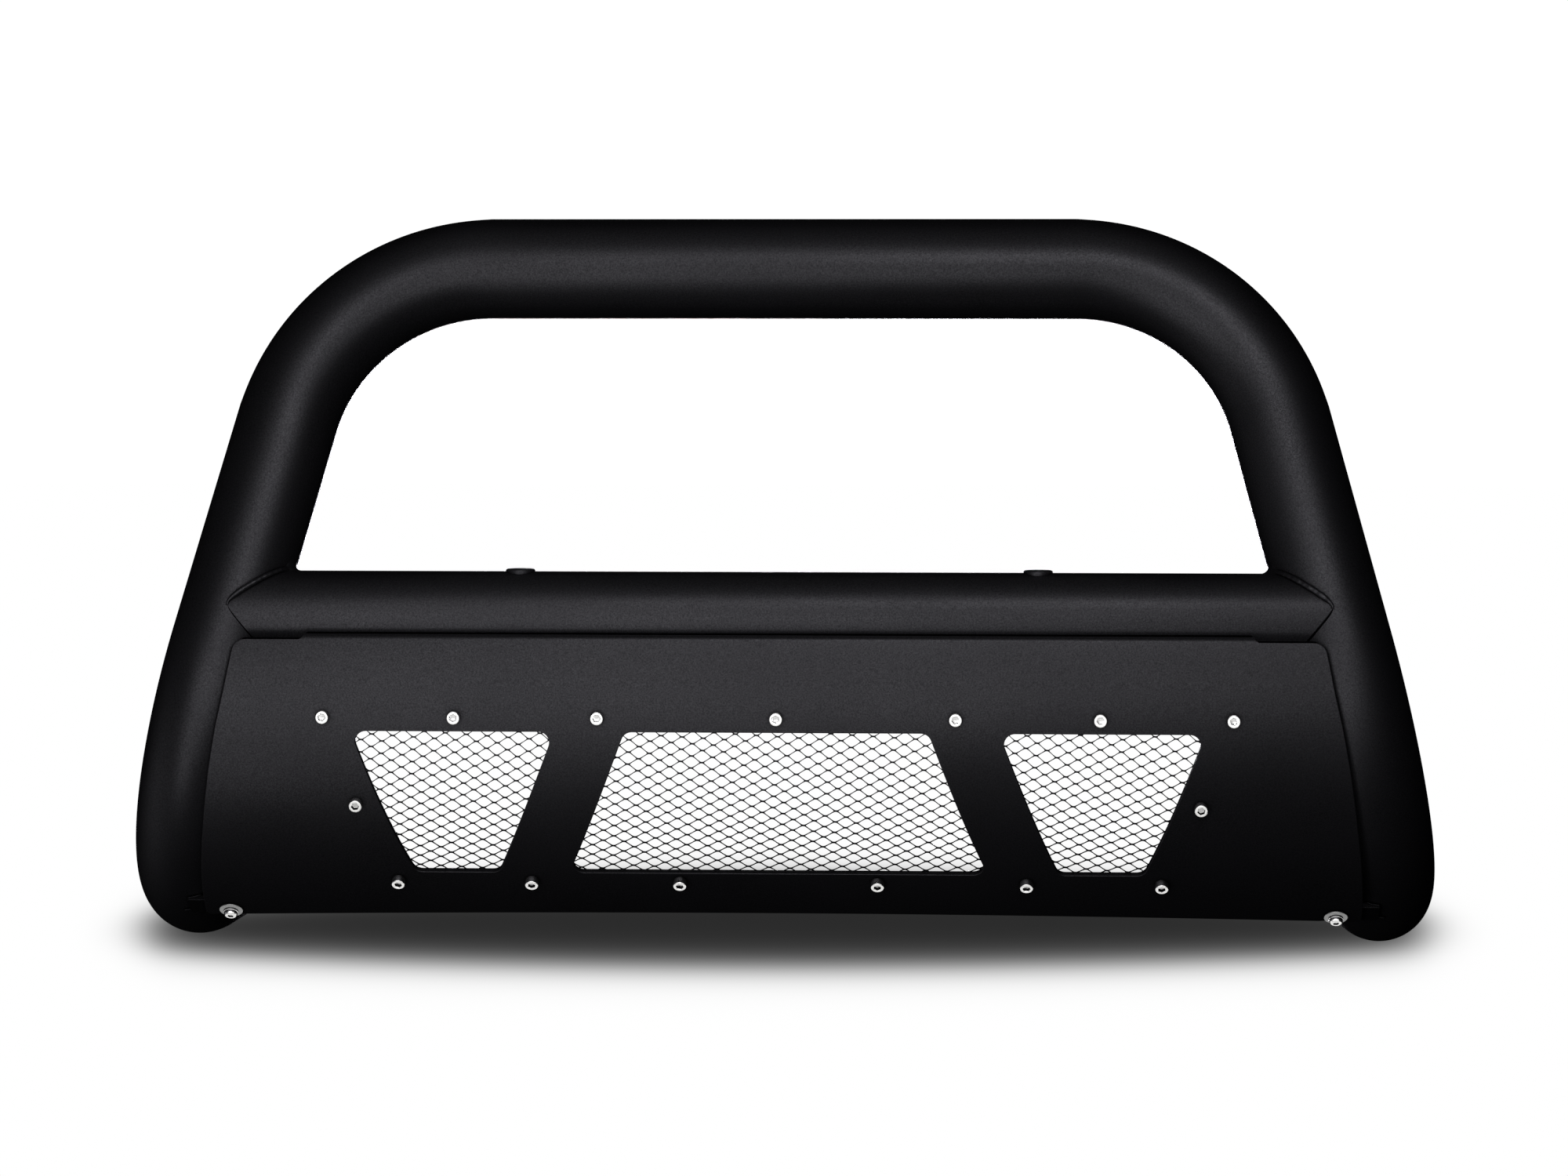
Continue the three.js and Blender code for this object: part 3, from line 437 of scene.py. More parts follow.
def piece(name, shell, slot, node, material=None, sharp=38.0):
    """Makes a shell into an object that rides on the body in place of a CAD node.

    `material` names one other than the slot's own; `sharp` is the crease angle in degrees."""
    vertices = (np.asarray(shell.vertices, float) + OFFSET) / 1000.0
    mesh = bpy.data.meshes.new(name)
    mesh.from_pydata(vertices.tolist(), [], [list(map(int, face)) for face in shell.faces])
    bm = bmesh.new()
    bm.from_mesh(mesh)
    if not shell.normals:
        bmesh.ops.remove_doubles(bm, verts=bm.verts, dist=1e-7)
    bmesh.ops.recalc_face_normals(bm, faces=bm.faces)
    bm.to_mesh(mesh)
    bm.free()
    mesh.update()
    mesh.polygons.foreach_set("use_smooth", [True] * len(mesh.polygons))
    if shell.normals:
        mesh.normals_split_custom_set_from_vertices([tuple(unit(n)) for n in shell.normals])
    else:
        mesh.set_sharp_from_angle(angle=math.radians(sharp))
    mesh.materials.append(MATERIALS[material or slot])
    ob = bpy.data.objects.new(name, mesh)
    bpy.context.scene.collection.objects.link(ob)
    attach(ob, "root")
    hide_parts(node)
    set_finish(ob, slot)


# ------------------------------------------------------------------ main hoop
def rounded_path(start, corners, end, step):
    """Points, tangents, outward bend directions and bend weights of a path.

    corners: (vertex, bend radius, bend segments). Straight runs are cut at about `step`."""
    stations = []

    def straight(a, b, tangent):
        count = max(1, int(round(np.linalg.norm(b - a) / step)))
        for k in range(count + 1):
            stations.append((a + (b - a) * k / count, tangent, np.zeros(3), 0.0))
    vertices = [start] + [corner[0] for corner in corners] + [end]
    cursor = start
    for i, (vertex, radius, segments) in enumerate(corners, 1):
        a = unit(vertex - vertices[i - 1])
        b = unit(vertices[i + 1] - vertex)
        turn = math.acos(float(np.clip(a @ b, -1, 1)))
        length = radius * math.tan(turn / 2)
        bend_start = vertex - a * length
        inward = unit(b - a * (a @ b))
        centre = bend_start + inward * radius
        straight(cursor, bend_start, a)
        for k in range(1, segments):
            angle = k / segments * turn
            outward = a * math.sin(angle) - inward * math.cos(angle)
            stations.append((centre + radius * outward,
                             unit(a * math.cos(angle) + inward * math.sin(angle)),
                             unit(outward), math.sin(math.pi * k / segments) ** 0.6))
        cursor = vertex + b * length
    straight(cursor, end, unit(end - vertices[-2]))
    return [np.array(column) for column in zip(*stations)]


def make_hoop():
    low, top = (LOW_BEND_R, 48), (TOP_BEND_R, 40)
    corners = [(mirror(LOW_VERTEX, -1), *low), (mirror(TOP_VERTEX, -1), *top),
               (TOP_VERTEX, *top), (LOW_VERTEX, *low)]
    points, tangents, outward, weight = rounded_path(mirror(REAR_END, -1), corners, REAR_END,
                                                     step=42.0)
    shell = Shell()
    walls = []
    for radius in (TUBE_R, TUBE_R - TUBE_WALL):
        rings = tube_rings(points, tangents, radius, sides=96, first=np.array([0.0, 0.0, 1.0]),
                           outward=outward, flatten=BEND_FLATTENING * weight)
        walls.append([shell.add(ring) for ring in rings])
    outer, inner = walls
    shell.skin(outer)
    shell.skin(inner)
    shell.bridge(outer[0], inner[0])
    shell.bridge(outer[-1], inner[-1])
    piece("hoop_tube", shell, "powder_coat", "main_hoop")


# ------------------------------------------------------------------ cross tube and its welds
def cope_point(angle, radius=CROSS_R, back=0.0):
    """Where a line along the cross tube's wall reaches the right leg, less `back`.

    The angle runs from the front, over the top."""
    y = CROSS_Y - radius * math.cos(angle)
    z = CROSS_Z + radius * math.sin(angle)
    start = np.array([0.0, y, z]) - TOP_VERTEX
    along = start @ LEG_DIR
    a = 1 - LEG_DIR[0] ** 2
    b = 2 * (start[0] - along * LEG_DIR[0])
    c = start @ start - along * along - TUBE_R * TUBE_R
    root = math.sqrt(max(b * b - 4 * a * c, 0.0))
    return np.array([(-b - root) / (2 * a) - back, y, z])


def make_cross_tube():
    """Coped tube: tight under the welds of the upper half, open by a thin seam below."""
    upper = np.concatenate([np.arange(0, 24, 1.0), np.arange(24, 180, 3.0)])
    degrees = np.concatenate([upper, 360 - upper[::-1][:-1]])
    shell = Shell()

    def cope(radius, seam):
        points = []
        for angle in np.radians(degrees):
            turn = math.degrees(angle)
            if turn >= 180:
                turn -= 360
            opening = ramp((13.0 - turn) / 5.0) * ramp((turn + 178) / 8.0)
            points.append(cope_point(angle, radius, back=0.15 + seam * opening))
        return np.array(points)
    walls = []
    for radius in (CROSS_R, CROSS_R - CROSS_WALL):
        left, right = cope(radius, seam=0.75), cope(radius, seam=1.35)
        rings = [shell.add((left if t < 0 else right) * [t, 1, 1])
                 for t in np.linspace(-1, 1, 15)]
        shell.skin(rings)
        walls.append(rings)
    shell.bridge(walls[0][0], walls[1][0])
    shell.bridge(walls[0][-1], walls[1][-1])
    piece("cross_tube_coped", shell, "powder_coat", "cross_tube")


def from_leg(point):
    """Vector from the right leg's axis to a point."""
    offset = point - TOP_VERTEX
    return offset - LEG_DIR * (offset @ LEG_DIR)


def from_cross(point):
    """Vector from the cross tube's axis to a point."""
    return np.array([0.0, point[1] - CROSS_Y, point[2] - CROSS_Z])


def pointing_away(direction, point, from_axis):
    """The direction, turned round if it heads for the axis."""
    ahead = np.linalg.norm(from_axis(point + direction * 2))
    behind = np.linalg.norm(from_axis(point - direction * 2))
    return -direction if ahead < behind else direction


def onto_wall(point, from_axis, radius):
    offset = from_axis(point)
    return point - offset + unit(offset) * radius


def cope_weld_section(point, tangent, degrees, along, total, side):
    """Weld section at a cope point: a round bead in front that turns into a fillet on top."""
    leg_out, tube_out = unit(from_leg(point)), unit(from_cross(point))
    leg_way = pointing_away(unit(np.cross(tangent, leg_out)), point, from_cross)
    tube_way = pointing_away(unit(np.cross(tangent, tube_out)), point, from_leg)
    outward = unit(leg_out + tube_out)
    rise = smooth_ramp(along / 12.0)
    envelope = (0.10 + 0.90 * rise) * min(1.0, (total - along) / 9.0 + 0.4)
    wobble = (1 + 0.03 * math.sin(along * 0.55 + side)
              + 0.025 * math.sin(along * 1.31 + 2 * side))
    root = point - outward * 1.8

    # fillet: a curve between a toe on each tube, widest just behind the top
    crest = math.exp(-((degrees - 106) / 20.0) ** 2)
    leg = (2.8 * envelope + 6.4 * crest) * wobble
    leg_toe = onto_wall(point + leg_way * leg, from_leg, TUBE_R + 0.03)
    tube_toe = onto_wall(point + tube_way * leg, from_cross, CROSS_R + 0.03)
    middle = (leg_toe + tube_toe) / 2
    hollow = 0.80 * ramp((degrees - 50) / 40)
    crown = 1.25 * envelope * (1 - 0.85 * ramp((degrees - 55) / 35))
    ripple = 0.02 * math.sin(2 * math.pi * along / 2.6)
    control = middle + (point - middle) * hollow + outward * (crown + ripple)
    fillet = [leg_toe - leg_out * 0.6]
    for w in np.linspace(0, 1, 13):
        fillet.append((1 - w) ** 2 * leg_toe + 2 * w * (1 - w) * control + w * w * tube_toe)
    fillet += [tube_toe - tube_out * 0.6, root]

    radius = 2.15 * (0.42 + 0.58 * rise) * wobble
    sideways = unit(leg_way - tube_way)
    turns = np.radians(np.concatenate([[122], np.linspace(104, -104, 13), [-122]]))
    bead = [point + outward * (0.55 * radius)
            + radius * (outward * math.cos(t) + sideways * math.sin(t)) for t in turns]
    bead.append(root)
    blend = smooth_ramp((degrees - 78) / 22.0)
    return (1 - blend) * np.array(bead) + blend * np.array(fillet)


def make_cope_weld(side, label):
    degrees = np.concatenate([np.arange(14.0, 40, 0.5), np.arange(40, 184.0, 1.0)])
    points = np.array([cope_point(math.radians(a)) for a in degrees])
    along = along_path(points)
    weld = Shell()
    rings = []
    for k, turn in enumerate(degrees):
        tangent = unit(cope_point(math.radians(turn + 0.4))
                       - cope_point(math.radians(turn - 0.4)))
        section = cope_weld_section(points[k], tangent, turn, along[k], along[-1], side)
        rings.append(weld.add(mirror(section, side)))
    weld.skin(rings, capped=True)

    # the open seam of the lower half, drawn as a near-black bead: painted shadow
    path = []
    for turn in np.arange(13.5, -76.0, -0.75):
        point = cope_point(math.radians(turn))
        outward = unit(unit(from_leg(point)) + unit(from_cross(point)))
        path.append(mirror(point - outward * 0.25, side))
    seam = Shell()
    seam.bead(path, radius=0.40 if side < 0 else 0.72, sides=12, ripple=0.0, taper=6.0)
    node = f"cope_weld_{label}"
    piece(f"cope_shadow_line_{label}", seam, "powder_coat", node, material="seam", sharp=60)
    piece(f"cope_weld_bead_{label}", weld, "powder_coat", node, material="weld", sharp=50)


# ------------------------------------------------------------------ plugs and end caps
def make_plug(side, label):
    """A round plug in the top of the cross tube; its cap sits down on the curved wall."""
    wall_top = CROSS_Z + CROSS_R
    top = wall_top + GAP + PLUG_CAP_T

    def saddle(radius):
        return lambda a: CROSS_Z + math.sqrt((CROSS_R + 0.05) ** 2 - (radius * math.sin(a)) ** 2)
    profile = [(0.0, top - 0.15), (5.0, top - 0.04), (7.6, top), (9.4, top - 0.12),
               (10.4, top - 0.5), (10.85, top - 1.0), (10.95, top - 1.5), (10.9, saddle(10.9)),
               (9.3, saddle(9.3)), (9.3, wall_top - 8.0), (8.4, wall_top - 9.0),
               (0.0, wall_top - 9.0)]
    centre = np.array([side * PLUG_X, CROSS_Y, 0.0])
    shell = Shell().lathe(profile, lambda points: points + centre, 64)
    piece(f"hole_plug_{label}", shell, "plug_plastic", f"light_hole_plug_{label}")


def make_end_cap(side, label):
    """A ribbed cap in the hoop's rear end; height 0 is the tube's cut end."""
    axis, base = unit(mirror(REAR_DIR, side)), mirror(REAR_END, side)
    up = np.array([0.0, 0.0, 1.0])
    frame = np.array([np.cross(axis, up), up, axis])
    bore = TUBE_R - TUBE_WALL - GAP
    profile = [(0.0, -8.0), (bore - 4, -8.0), (bore - 2.6, -7.2), (bore - 2, -6.0),
               (bore - 2, -3.2), (bore - 1.2, -3.0), (bore - 1.2, -2.4), (bore - 2, -2.2),
               (bore - 2, 0.3), (TUBE_R - 0.1, 0.3), (TUBE_R, 0.6), (TUBE_R, 1.9),
               (TUBE_R - 0.5, 2.7), (TUBE_R - 1.6, 3.15), (TUBE_R - 4.0, 3.3),
               (TUBE_R - 8.0, 3.3), (TUBE_R - 9.0, 2.9), (0.0, 2.9)]
    shell = Shell().lathe(profile, lambda points: base + points @ frame, 72)
    piece(f"end_cap_{label}", shell, "plug_plastic", f"leg_end_cap_{label}")


# ------------------------------------------------------------------ rolled surface
def on_plate(x, drop, lift):
    """Points and outward normals at (x, drop, lift); above BEND_DROP the lip rolls back."""
    x, drop, lift = np.broadcast_arrays(*(np.asarray(v, float) for v in (x, drop, lift)))
    angle = PLATE_TOP_ANGLE - np.maximum(drop, BEND_DROP) / PLATE_R
    y = PLATE_AXIS_Y - PLATE_R * np.cos(angle)
    z = PLATE_AXIS_Z + PLATE_R * np.sin(angle)
    turn = np.clip((BEND_DROP - drop) / LIP_BEND_R, 0, LIP_ANGLE)
    turned = angle + turn
    bent = drop < BEND_DROP
    bend_y = y + LIP_BEND_R * np.cos(angle) - LIP_BEND_R * np.cos(turned)
    bend_z = z - LIP_BEND_R * np.sin(angle) + LIP_BEND_R * np.sin(turned)
    flat = np.maximum((BEND_DROP - drop) - LIP_ANGLE * LIP_BEND_R, 0)
    y = np.where(bent, bend_y, y) + flat * np.sin(turned)
    z = np.where(bent, bend_z, z) + flat * np.cos(turned)
    normals = np.stack([0 * x, -np.cos(turned), np.sin(turned)], -1)
    return np.stack([x, y, z], -1) + lift[..., None] * normals, normals


def seat(x, drop, lift, twist=0.0):
    """A place() for lathes: local z is the plate's outward normal at (x, drop)."""
    angle = PLATE_TOP_ANGLE - drop / PLATE_R
    across = np.array([1.0, 0.0, 0.0])
    up = np.array([0.0, math.sin(angle), math.cos(angle)])
    outward = np.array([0.0, -math.cos(angle), math.sin(angle)])
    origin = on_plate(x, drop, lift)[0]
    frame = np.array([across * math.cos(twist) + up * math.sin(twist),
                      -across * math.sin(twist) + up * math.cos(twist), outward])
    return lambda points: origin + points @ frame


# ------------------------------------------------------------------ outlines
def corner_arc(before, corner, after, radius, segments):
    """Points of the arc that rounds a corner; segments are per quarter turn."""
    u, w = unit(before - corner), unit(after - corner)
    half = math.acos(float(np.clip(u @ w, -1, 1))) / 2
    length = min(radius / math.tan(half), 0.49 * np.linalg.norm(before - corner),
                 0.49 * np.linalg.norm(after - corner))
    radius = length * math.tan(half)
    centre = corner + unit(u + w) * (radius / math.sin(half))
    start, end = corner + u * length - centre, corner + w * length - centre
    first = math.atan2(start[1], start[0])
    last = math.atan2(end[1], end[0])
    sweep = (last - first + math.pi) % (2 * math.pi) - math.pi
    count = max(2, int(segments * abs(sweep) / (math.pi / 2)) + 1)
    angles = [first + sweep * k / count for k in range(count + 1)]
    return [centre + radius * np.array([math.cos(a), math.sin(a)]) for a in angles]


def rounded_polygon(corners, segments=10):
    """Closed loop with its arcs, from corners of (x, y, radius)."""
    vertices = [np.array(corner[:2], float) for corner in corners]
    loop = []
    for i, vertex in enumerate(vertices):
        if corners[i][2] <= 0:
            loop.append(vertex)
        else:
            loop += corner_arc(vertices[i - 1], vertex, vertices[(i + 1) % len(vertices)],
                               corners[i][2], segments)
    return np.array(loop)


def trapezoid(top_drop, foot_drop, spans, radius, segments=8):
    (a, b), (c, d) = spans
    return rounded_polygon([(a, top_drop, radius), (b, top_drop, radius),
                            (d, foot_drop, radius), (c, foot_drop, radius)], segments)


def window(panel):
    return trapezoid(WINDOW_TOP, WINDOW_FOOT, WINDOWS[panel], WINDOW_R)


def hole(x, drop):
    angles = np.arange(24) * 2 * math.pi / 24
    return np.stack([x + HOLE_R * np.cos(angles), drop + HOLE_R * np.sin(angles)], 1)


def densify(loop, step):
    dense = []
    for a, b in zip(loop, np.roll(loop, -1, 0)):
        count = max(1, int(math.ceil(np.linalg.norm(b - a) / step)))
        dense += [a + (b - a) * k / count for k in range(count)]
    return np.array(dense)


def loop_area(loop):
    x, y = loop[:, 0], loop[:, 1]
    return 0.5 * float(np.sum(x * np.roll(y, -1) - np.roll(x, -1) * y))


def rim_steps(loop):
    """Vectors out of the material, scaled for mitres; and their unit directions.

    The loop is walked with the material on its left."""
    edges = np.roll(loop, -1, 0) - loop
    edges /= np.maximum(np.linalg.norm(edges, axis=1), 1e-12)[:, None]
    edge_normals = np.stack([edges[:, 1], -edges[:, 0]], 1)
    normals = edge_normals + np.roll(edge_normals, 1, 0)
    normals /= np.maximum(np.linalg.norm(normals, axis=1), 1e-9)[:, None]
    scale = 1 / np.maximum(np.sum(normals * edge_normals, axis=1), 0.5)
    return normals * scale[:, None], normals


def inside_loop(points, loop):
    x, y = points[:, 0], points[:, 1]
    inside = np.zeros(len(points), bool)
    for (x0, y0), (x1, y1) in zip(loop, np.roll(loop, -1, 0)):
        hit = (y0 > y) != (y1 > y)
        if hit.any():
            inside[hit] ^= x[hit] < x0 + (y[hit] - y0) * (x1 - x0) / (y1 - y0)
    return inside


def in_material(points, loops):
    """Inside the first loop and outside the others."""
    inside = inside_loop(points, loops[0])
    for loop in loops[1:]:
        inside &= ~inside_loop(points, loop)
    return inside


# ------------------------------------------------------------------ sheets
def triangulate(loops, rows, cols):
    """Flat triangulation of the material between loops, with grid points inside.

    Returns points, triangles and, per loop, the index of each of its points."""
    points, edges, starts = [], [], []
    for loop in loops:
        start, count = len(points), len(loop)
        starts.append(start)
        points.extend(map(tuple, loop))
        edges.extend([(start + k, start + (k + 1) % count) for k in range(count)])
    grid_x, grid_y = np.meshgrid(cols, rows)
    grid = np.stack([grid_x.ravel(), grid_y.ravel()], 1)
    grid = grid[in_material(grid, loops)]
    # grid points within 1 mm of a rim would make slivers
    border = np.concatenate(loops)
    far = np.ones(len(grid), bool)
    for k in range(0, len(grid), 400):
        gaps = ((grid[k:k + 400, None, :] - border[None]) ** 2).sum(2).min(1)
        far[k:k + 400] = gaps > 1.0
    points.extend(map(tuple, grid[far]))
    result = delaunay_2d_cdt([Vector(p) for p in points], edges, [], 0, 1e-6)
    flat = np.array([tuple(v) for v in result[0]])
    triangles = np.array([list(t) for t in result[2] if len(t) == 3])
    triangles = triangles[in_material(flat[triangles].mean(1), loops)]
    index = {source: k for k, sources in enumerate(result[3]) for source in sources}
    return flat, triangles, [[index[start + k] for k in range(len(loop))]
                             for start, loop in zip(starts, loops)]


def sheet(outline, holes, front, back, mapping, rows, cols, ease, step):
    """Sheet between two lifts with eased rims; mapping(x, y, lift) gives points and normals.

    rows and cols place the inner grid; rims are cut at `step` and eased by `ease`."""
    loops = []
    for k, loop in enumerate([outline, *holes]):
        loop = densify(np.asarray(loop, float), step)
        if (loop_area(loop) < 0) != (k > 0):
            loop = loop[::-1]
        loops.append(loop[np.linalg.norm(loop - np.roll(loop, 1, 0), axis=1) > 1e-5])
    rims = [rim_steps(loop) for loop in loops]
    inset = [loop - steps * ease for loop, (steps, _) in zip(loops, rims)]
    flat, triangles, loop_ids = triangulate(inset, rows, cols)
    shell = Shell()
    points, normals = mapping(flat[:, 0], flat[:, 1], np.full(len(flat), front))
    front_ids = shell.add(points, normals)
    points, normals = mapping(flat[:, 0], flat[:, 1], np.full(len(flat), back))
    back_ids = shell.add(points, -normals)
    for a, b, c in triangles:
        shell.faces.append((front_ids[a], front_ids[b], front_ids[c]))
        shell.faces.append((back_ids[a], back_ids[c], back_ids[b]))

    # rim profile: (inset, lift, degrees from the front normal)
    depth = min(ease, (front - back) * 0.45)
    profile = []
    for degrees in (30, 60, 90, 90, 60, 30):
        angle = math.radians(degrees)
        fall = depth * (1 - math.cos(angle))
        behind = len(profile) >= 3
        profile.append((ease * (1 - math.sin(angle)), back + fall if behind else front - fall,
                        180 - degrees if behind else degrees))
    for loop, (steps, outward), ids in zip(loops, rims, loop_ids):
        previous = [front_ids[k] for k in ids]
        for inward, lift, degrees in profile:
            rim = loop - steps * inward
            lifts = np.full(len(loop), lift)
            points, normals = mapping(rim[:, 0], rim[:, 1], lifts)
            nudged = rim + outward * 0.01
            sideways = mapping(nudged[:, 0], nudged[:, 1], lifts)[0] - points
            sideways /= np.maximum(np.linalg.norm(sideways, axis=1), 1e-12)[:, None]
            angle = math.radians(degrees)
            ring = shell.add(points, normals * math.cos(angle) + sideways * math.sin(angle))
            shell.bridge(previous, ring)
            previous = ring
        shell.bridge(previous, [back_ids[k] for k in ids])
    return shell


# ------------------------------------------------------------------ skid plate
def arched(x, drop, lift):
    """on_plate with the foot's arch; the surface near the lower bolts stays as it was."""
    x, drop = np.asarray(x, float), np.asarray(drop, float)
    weight = np.clip((drop - ARCH_FROM) / (FOOT_DROP - ARCH_FROM), 0, None)
    from_bolt = np.hypot(np.abs(x) - LOWER_BOLT_X, drop - LOWER_BOLT_DROP)
    clear = np.clip((from_bolt - 5.0) / 5.0, 0, 1)
    shift = weight * clear * (ARCH_MIDDLE + ARCH_RISE * (x / 400.0) ** 2)
    return on_plate(x, drop + shift, lift)


def plate_outline():
    right = [(LIP_HALF, LIP_TOP, 0.8), (LIP_HALF, BEND_DROP - 0.02, 4.4),
             (PLATE_EDGE[0][1], BEND_DROP, TOP_CORNER_R)]
    right += [(x, drop, 0) for drop, x in PLATE_EDGE[1:-1]]
    right += [(FOOT_HALF, FOOT_DROP, FOOT_CORNER_R)]
    left = [(-x, drop, radius) for x, drop, radius in right[::-1]]
    return rounded_polygon(right + left, 12)


def thread(start, end):
    """Profile rows of a helical thread between two heights, fading out at both ends."""
    pitch, depth = 1.0, 0.42
    count = int(abs(end - start) / 0.25)
    rows = []
    for k in range(count + 1):
        height = start + (end - start) * k / count
        fade = min(1.0, k / 4, (count - k) / 4)

        def radius(a, height=height, fade=fade):
            phase = (height / pitch + a / (2 * math.pi)) % 1.0
            return THREAD_R - depth * fade * abs(2 * phase - 1)
        rows.append((radius, height))
    return rows


def make_plate():
    holes = [window(panel) for panel in WINDOWS]
    holes += [hole(x, drop) for _, x, drop in SCREWS]
    holes += [hole(side * LOWER_BOLT_X, LOWER_BOLT_DROP) for side, _ in SIDES]
    rows = np.concatenate([np.arange(LIP_TOP + 1.2, BEND_DROP + 1, 0.62),
                           np.arange(BEND_DROP + 2.5, FOOT_DROP, 3.4)])
    shell = sheet(plate_outline(), holes, 0.0, -PLATE_T, arched, rows,
                  np.arange(-438, 438.1, 8.0), ease=0.5, step=4.0)
    piece("skid_plate_sheet", shell, "powder_coat", "skid_plate")
    # weld studs on the back, for the upper brackets
    profile = [(0.0, 0.3), (4.6, 0.2), (4.6, -0.5), (3.4, -1.0), (3.0, -1.4),
               *thread(-1.6, -15.4), (2.5, -16.0), (0.0, -16.0)]
    studs = Shell()
    for side, _ in SIDES:
        studs.lathe(profile, seat(side * STUD_X, STUD_DROP, -PLATE_T), 24)
    piece("plate_weld_studs", studs, "zinc", "skid_plate")


# ------------------------------------------------------------------ expanded metal
def lattice_cell(long_step, short_step, to_lattice):
    """One lens-shaped opening and its rhombus rim round the origin, both by lattice angle.

    Also returns, for each rim point, the opening's point that faces it."""
    half_long, half_short = long_step / 2, short_step / 2
    tip = np.linalg.norm(half_long) - BOND_HALF_LENGTH
    side = np.linalg.norm(half_short) - BOND_HALF_HEIGHT
    bond = BOND_HALF_LENGTH * 0.62
    # strands bow a little, their knees set at a share of the way out
    share = 0.46
    knee_x, knee_y = tip * share + 0.36, side * (1 - share) + 0.30
    loop = rounded_polygon([
        (tip, 0.0, 0.8), (knee_x, knee_y, 3.5), (bond, side, 1.3), (-bond, side, 1.3),
        (-knee_x, knee_y, 3.5), (-tip, 0.0, 0.8), (-knee_x, -knee_y, 3.5), (-bond, -side, 1.3),
        (bond, -side, 1.3), (knee_x, -knee_y, 3.5)], 4)
    axes = np.stack([long_step / np.linalg.norm(long_step),
                     short_step / np.linalg.norm(short_step)], 1)

    def turn(point):
        a, b = to_lattice @ point
        return math.atan2(b, a)

    def by_turn(points):
        return np.array(sorted(points.tolist(), key=lambda p: turn(np.array(p))))
    opening = by_turn(loop @ axes.T)
    # bonds and strand middles, which neighbouring cells share
    rim = by_turn(np.array([
        half_long, (half_long + half_short) / 2, half_short, (half_short - half_long) / 2,
        -half_long, -(half_long + half_short) / 2, -half_short, (half_long - half_short) / 2]))
    turns = np.array([turn(p) for p in opening])
    facing = [int(np.argmin(np.abs((turns - turn(p) + math.pi) % (2 * math.pi) - math.pi)))
              for p in rim]
    return opening, rim, facing


def add_cell(bm, centre, opening, rim, facing):
    """Faces between a cell's rim and its opening."""
    inner = [bm.verts.new((*(p + centre), 0)) for p in opening]
    outer = [bm.verts.new((*(p + centre), 0)) for p in rim]
    for k in range(len(rim)):
        after = (k + 1) % len(rim)
        face = [outer[after], outer[k]]
        h = facing[k]
        while h != facing[after]:
            face.append(inner[h])
            h = (h + 1) % len(inner)
        face.append(inner[h])
        bm.faces.new(face)


def trim(bm, corners):
    """Cuts the web to the panel's four edges."""
    for k in range(4):
        start, end = corners[k], corners[(k + 1) % 4]
        edge = unit(end - start)
        normal = np.array([edge[1], -edge[0]])
        if (corners.mean(0) - start) @ normal > 0:
            normal = -normal
        bmesh.ops.bisect_plane(bm, geom=bm.verts[:] + bm.edges[:] + bm.faces[:], dist=1e-5,
                               plane_co=(*start, 0), plane_no=(*normal, 0), clear_outer=True)
    bmesh.ops.dissolve_degenerate(bm, dist=1e-4, edges=bm.edges)


def drop_crumbs(bm):
    """Keeps only the largest connected group of faces."""
    bm.faces.ensure_lookup_table()
    seen, groups = set(), []
    for face in bm.faces:
        if face.index in seen:
            continue
        stack, group = [face], []
        seen.add(face.index)
        while stack:
            current = stack.pop()
            group.append(current)
            for edge in current.edges:
                for neighbour in edge.link_faces:
                    if neighbour.index not in seen:
                        seen.add(neighbour.index)
                        stack.append(neighbour)
        groups.append(group)
    groups.sort(key=len)
    for group in groups[:-1]:
        bmesh.ops.delete(bm, geom=group, context="FACES")


def flat_web(panel, corners, low, high):
    """The trimmed web in (x, drop): points, faces and border edges in face order."""
    origin, long_step, short_step = (np.array(v) for v in LATTICE[panel])
    half_long, half_short = long_step / 2, short_step / 2
    to_lattice = np.linalg.inv(np.stack([half_long, half_short], 1))
    span = np.array([to_lattice @ (np.array([x, y]) - origin)
                     for x in (low[0], high[0]) for y in (low[1], high[1])])
    i_first, j_first = np.floor(span.min(0)).astype(int) - 1
    i_last, j_last = np.ceil(span.max(0)).astype(int) + 1
    cell = lattice_cell(long_step, short_step, to_lattice)
    bm = bmesh.new()
    for i in range(i_first, i_last + 1):
        for j in range(j_first, j_last + 1):
            centre = origin + i * half_long + j * half_short
            # openings sit at every other lattice point
            if (i + j) % 2 == 0 or (centre < low).any() or (centre > high).any():
                continue
            add_cell(bm, centre, *cell)
    bmesh.ops.remove_doubles(bm, verts=bm.verts, dist=2e-3)
    trim(bm, corners)
    drop_crumbs(bm)
    points = np.array([tuple(v.co)[:2] for v in bm.verts])
    index = {v: k for k, v in enumerate(bm.verts)}
    faces = [[index[v] for v in face.verts] for face in bm.faces]
    border = []
    for edge in bm.edges:
        if len(edge.link_faces) == 1:
            around = [index[v] for v in edge.link_faces[0].verts]
            a, b = (index[v] for v in edge.verts)
            if around[(around.index(a) + 1) % len(around)] != b:
                a, b = b, a
            border.append((a, b))
    bm.free()
    return points, faces, border


def outward_push(points, faces, border):
    """Directions out of the material at border points, zero elsewhere."""
    push = np.zeros_like(points)
    for a, b in border:
        edge = points[b] - points[a]
        length = np.linalg.norm(edge)
        if length < 1e-6:
            continue
        for k in (a, b):
            push[k] += np.array([edge[1], -edge[0]]) / length
    push /= np.maximum(np.linalg.norm(push, axis=1), 0.35)[:, None]
    area = sum(loop_area(points[face]) for face in faces)
    return push if area > 0 else -push


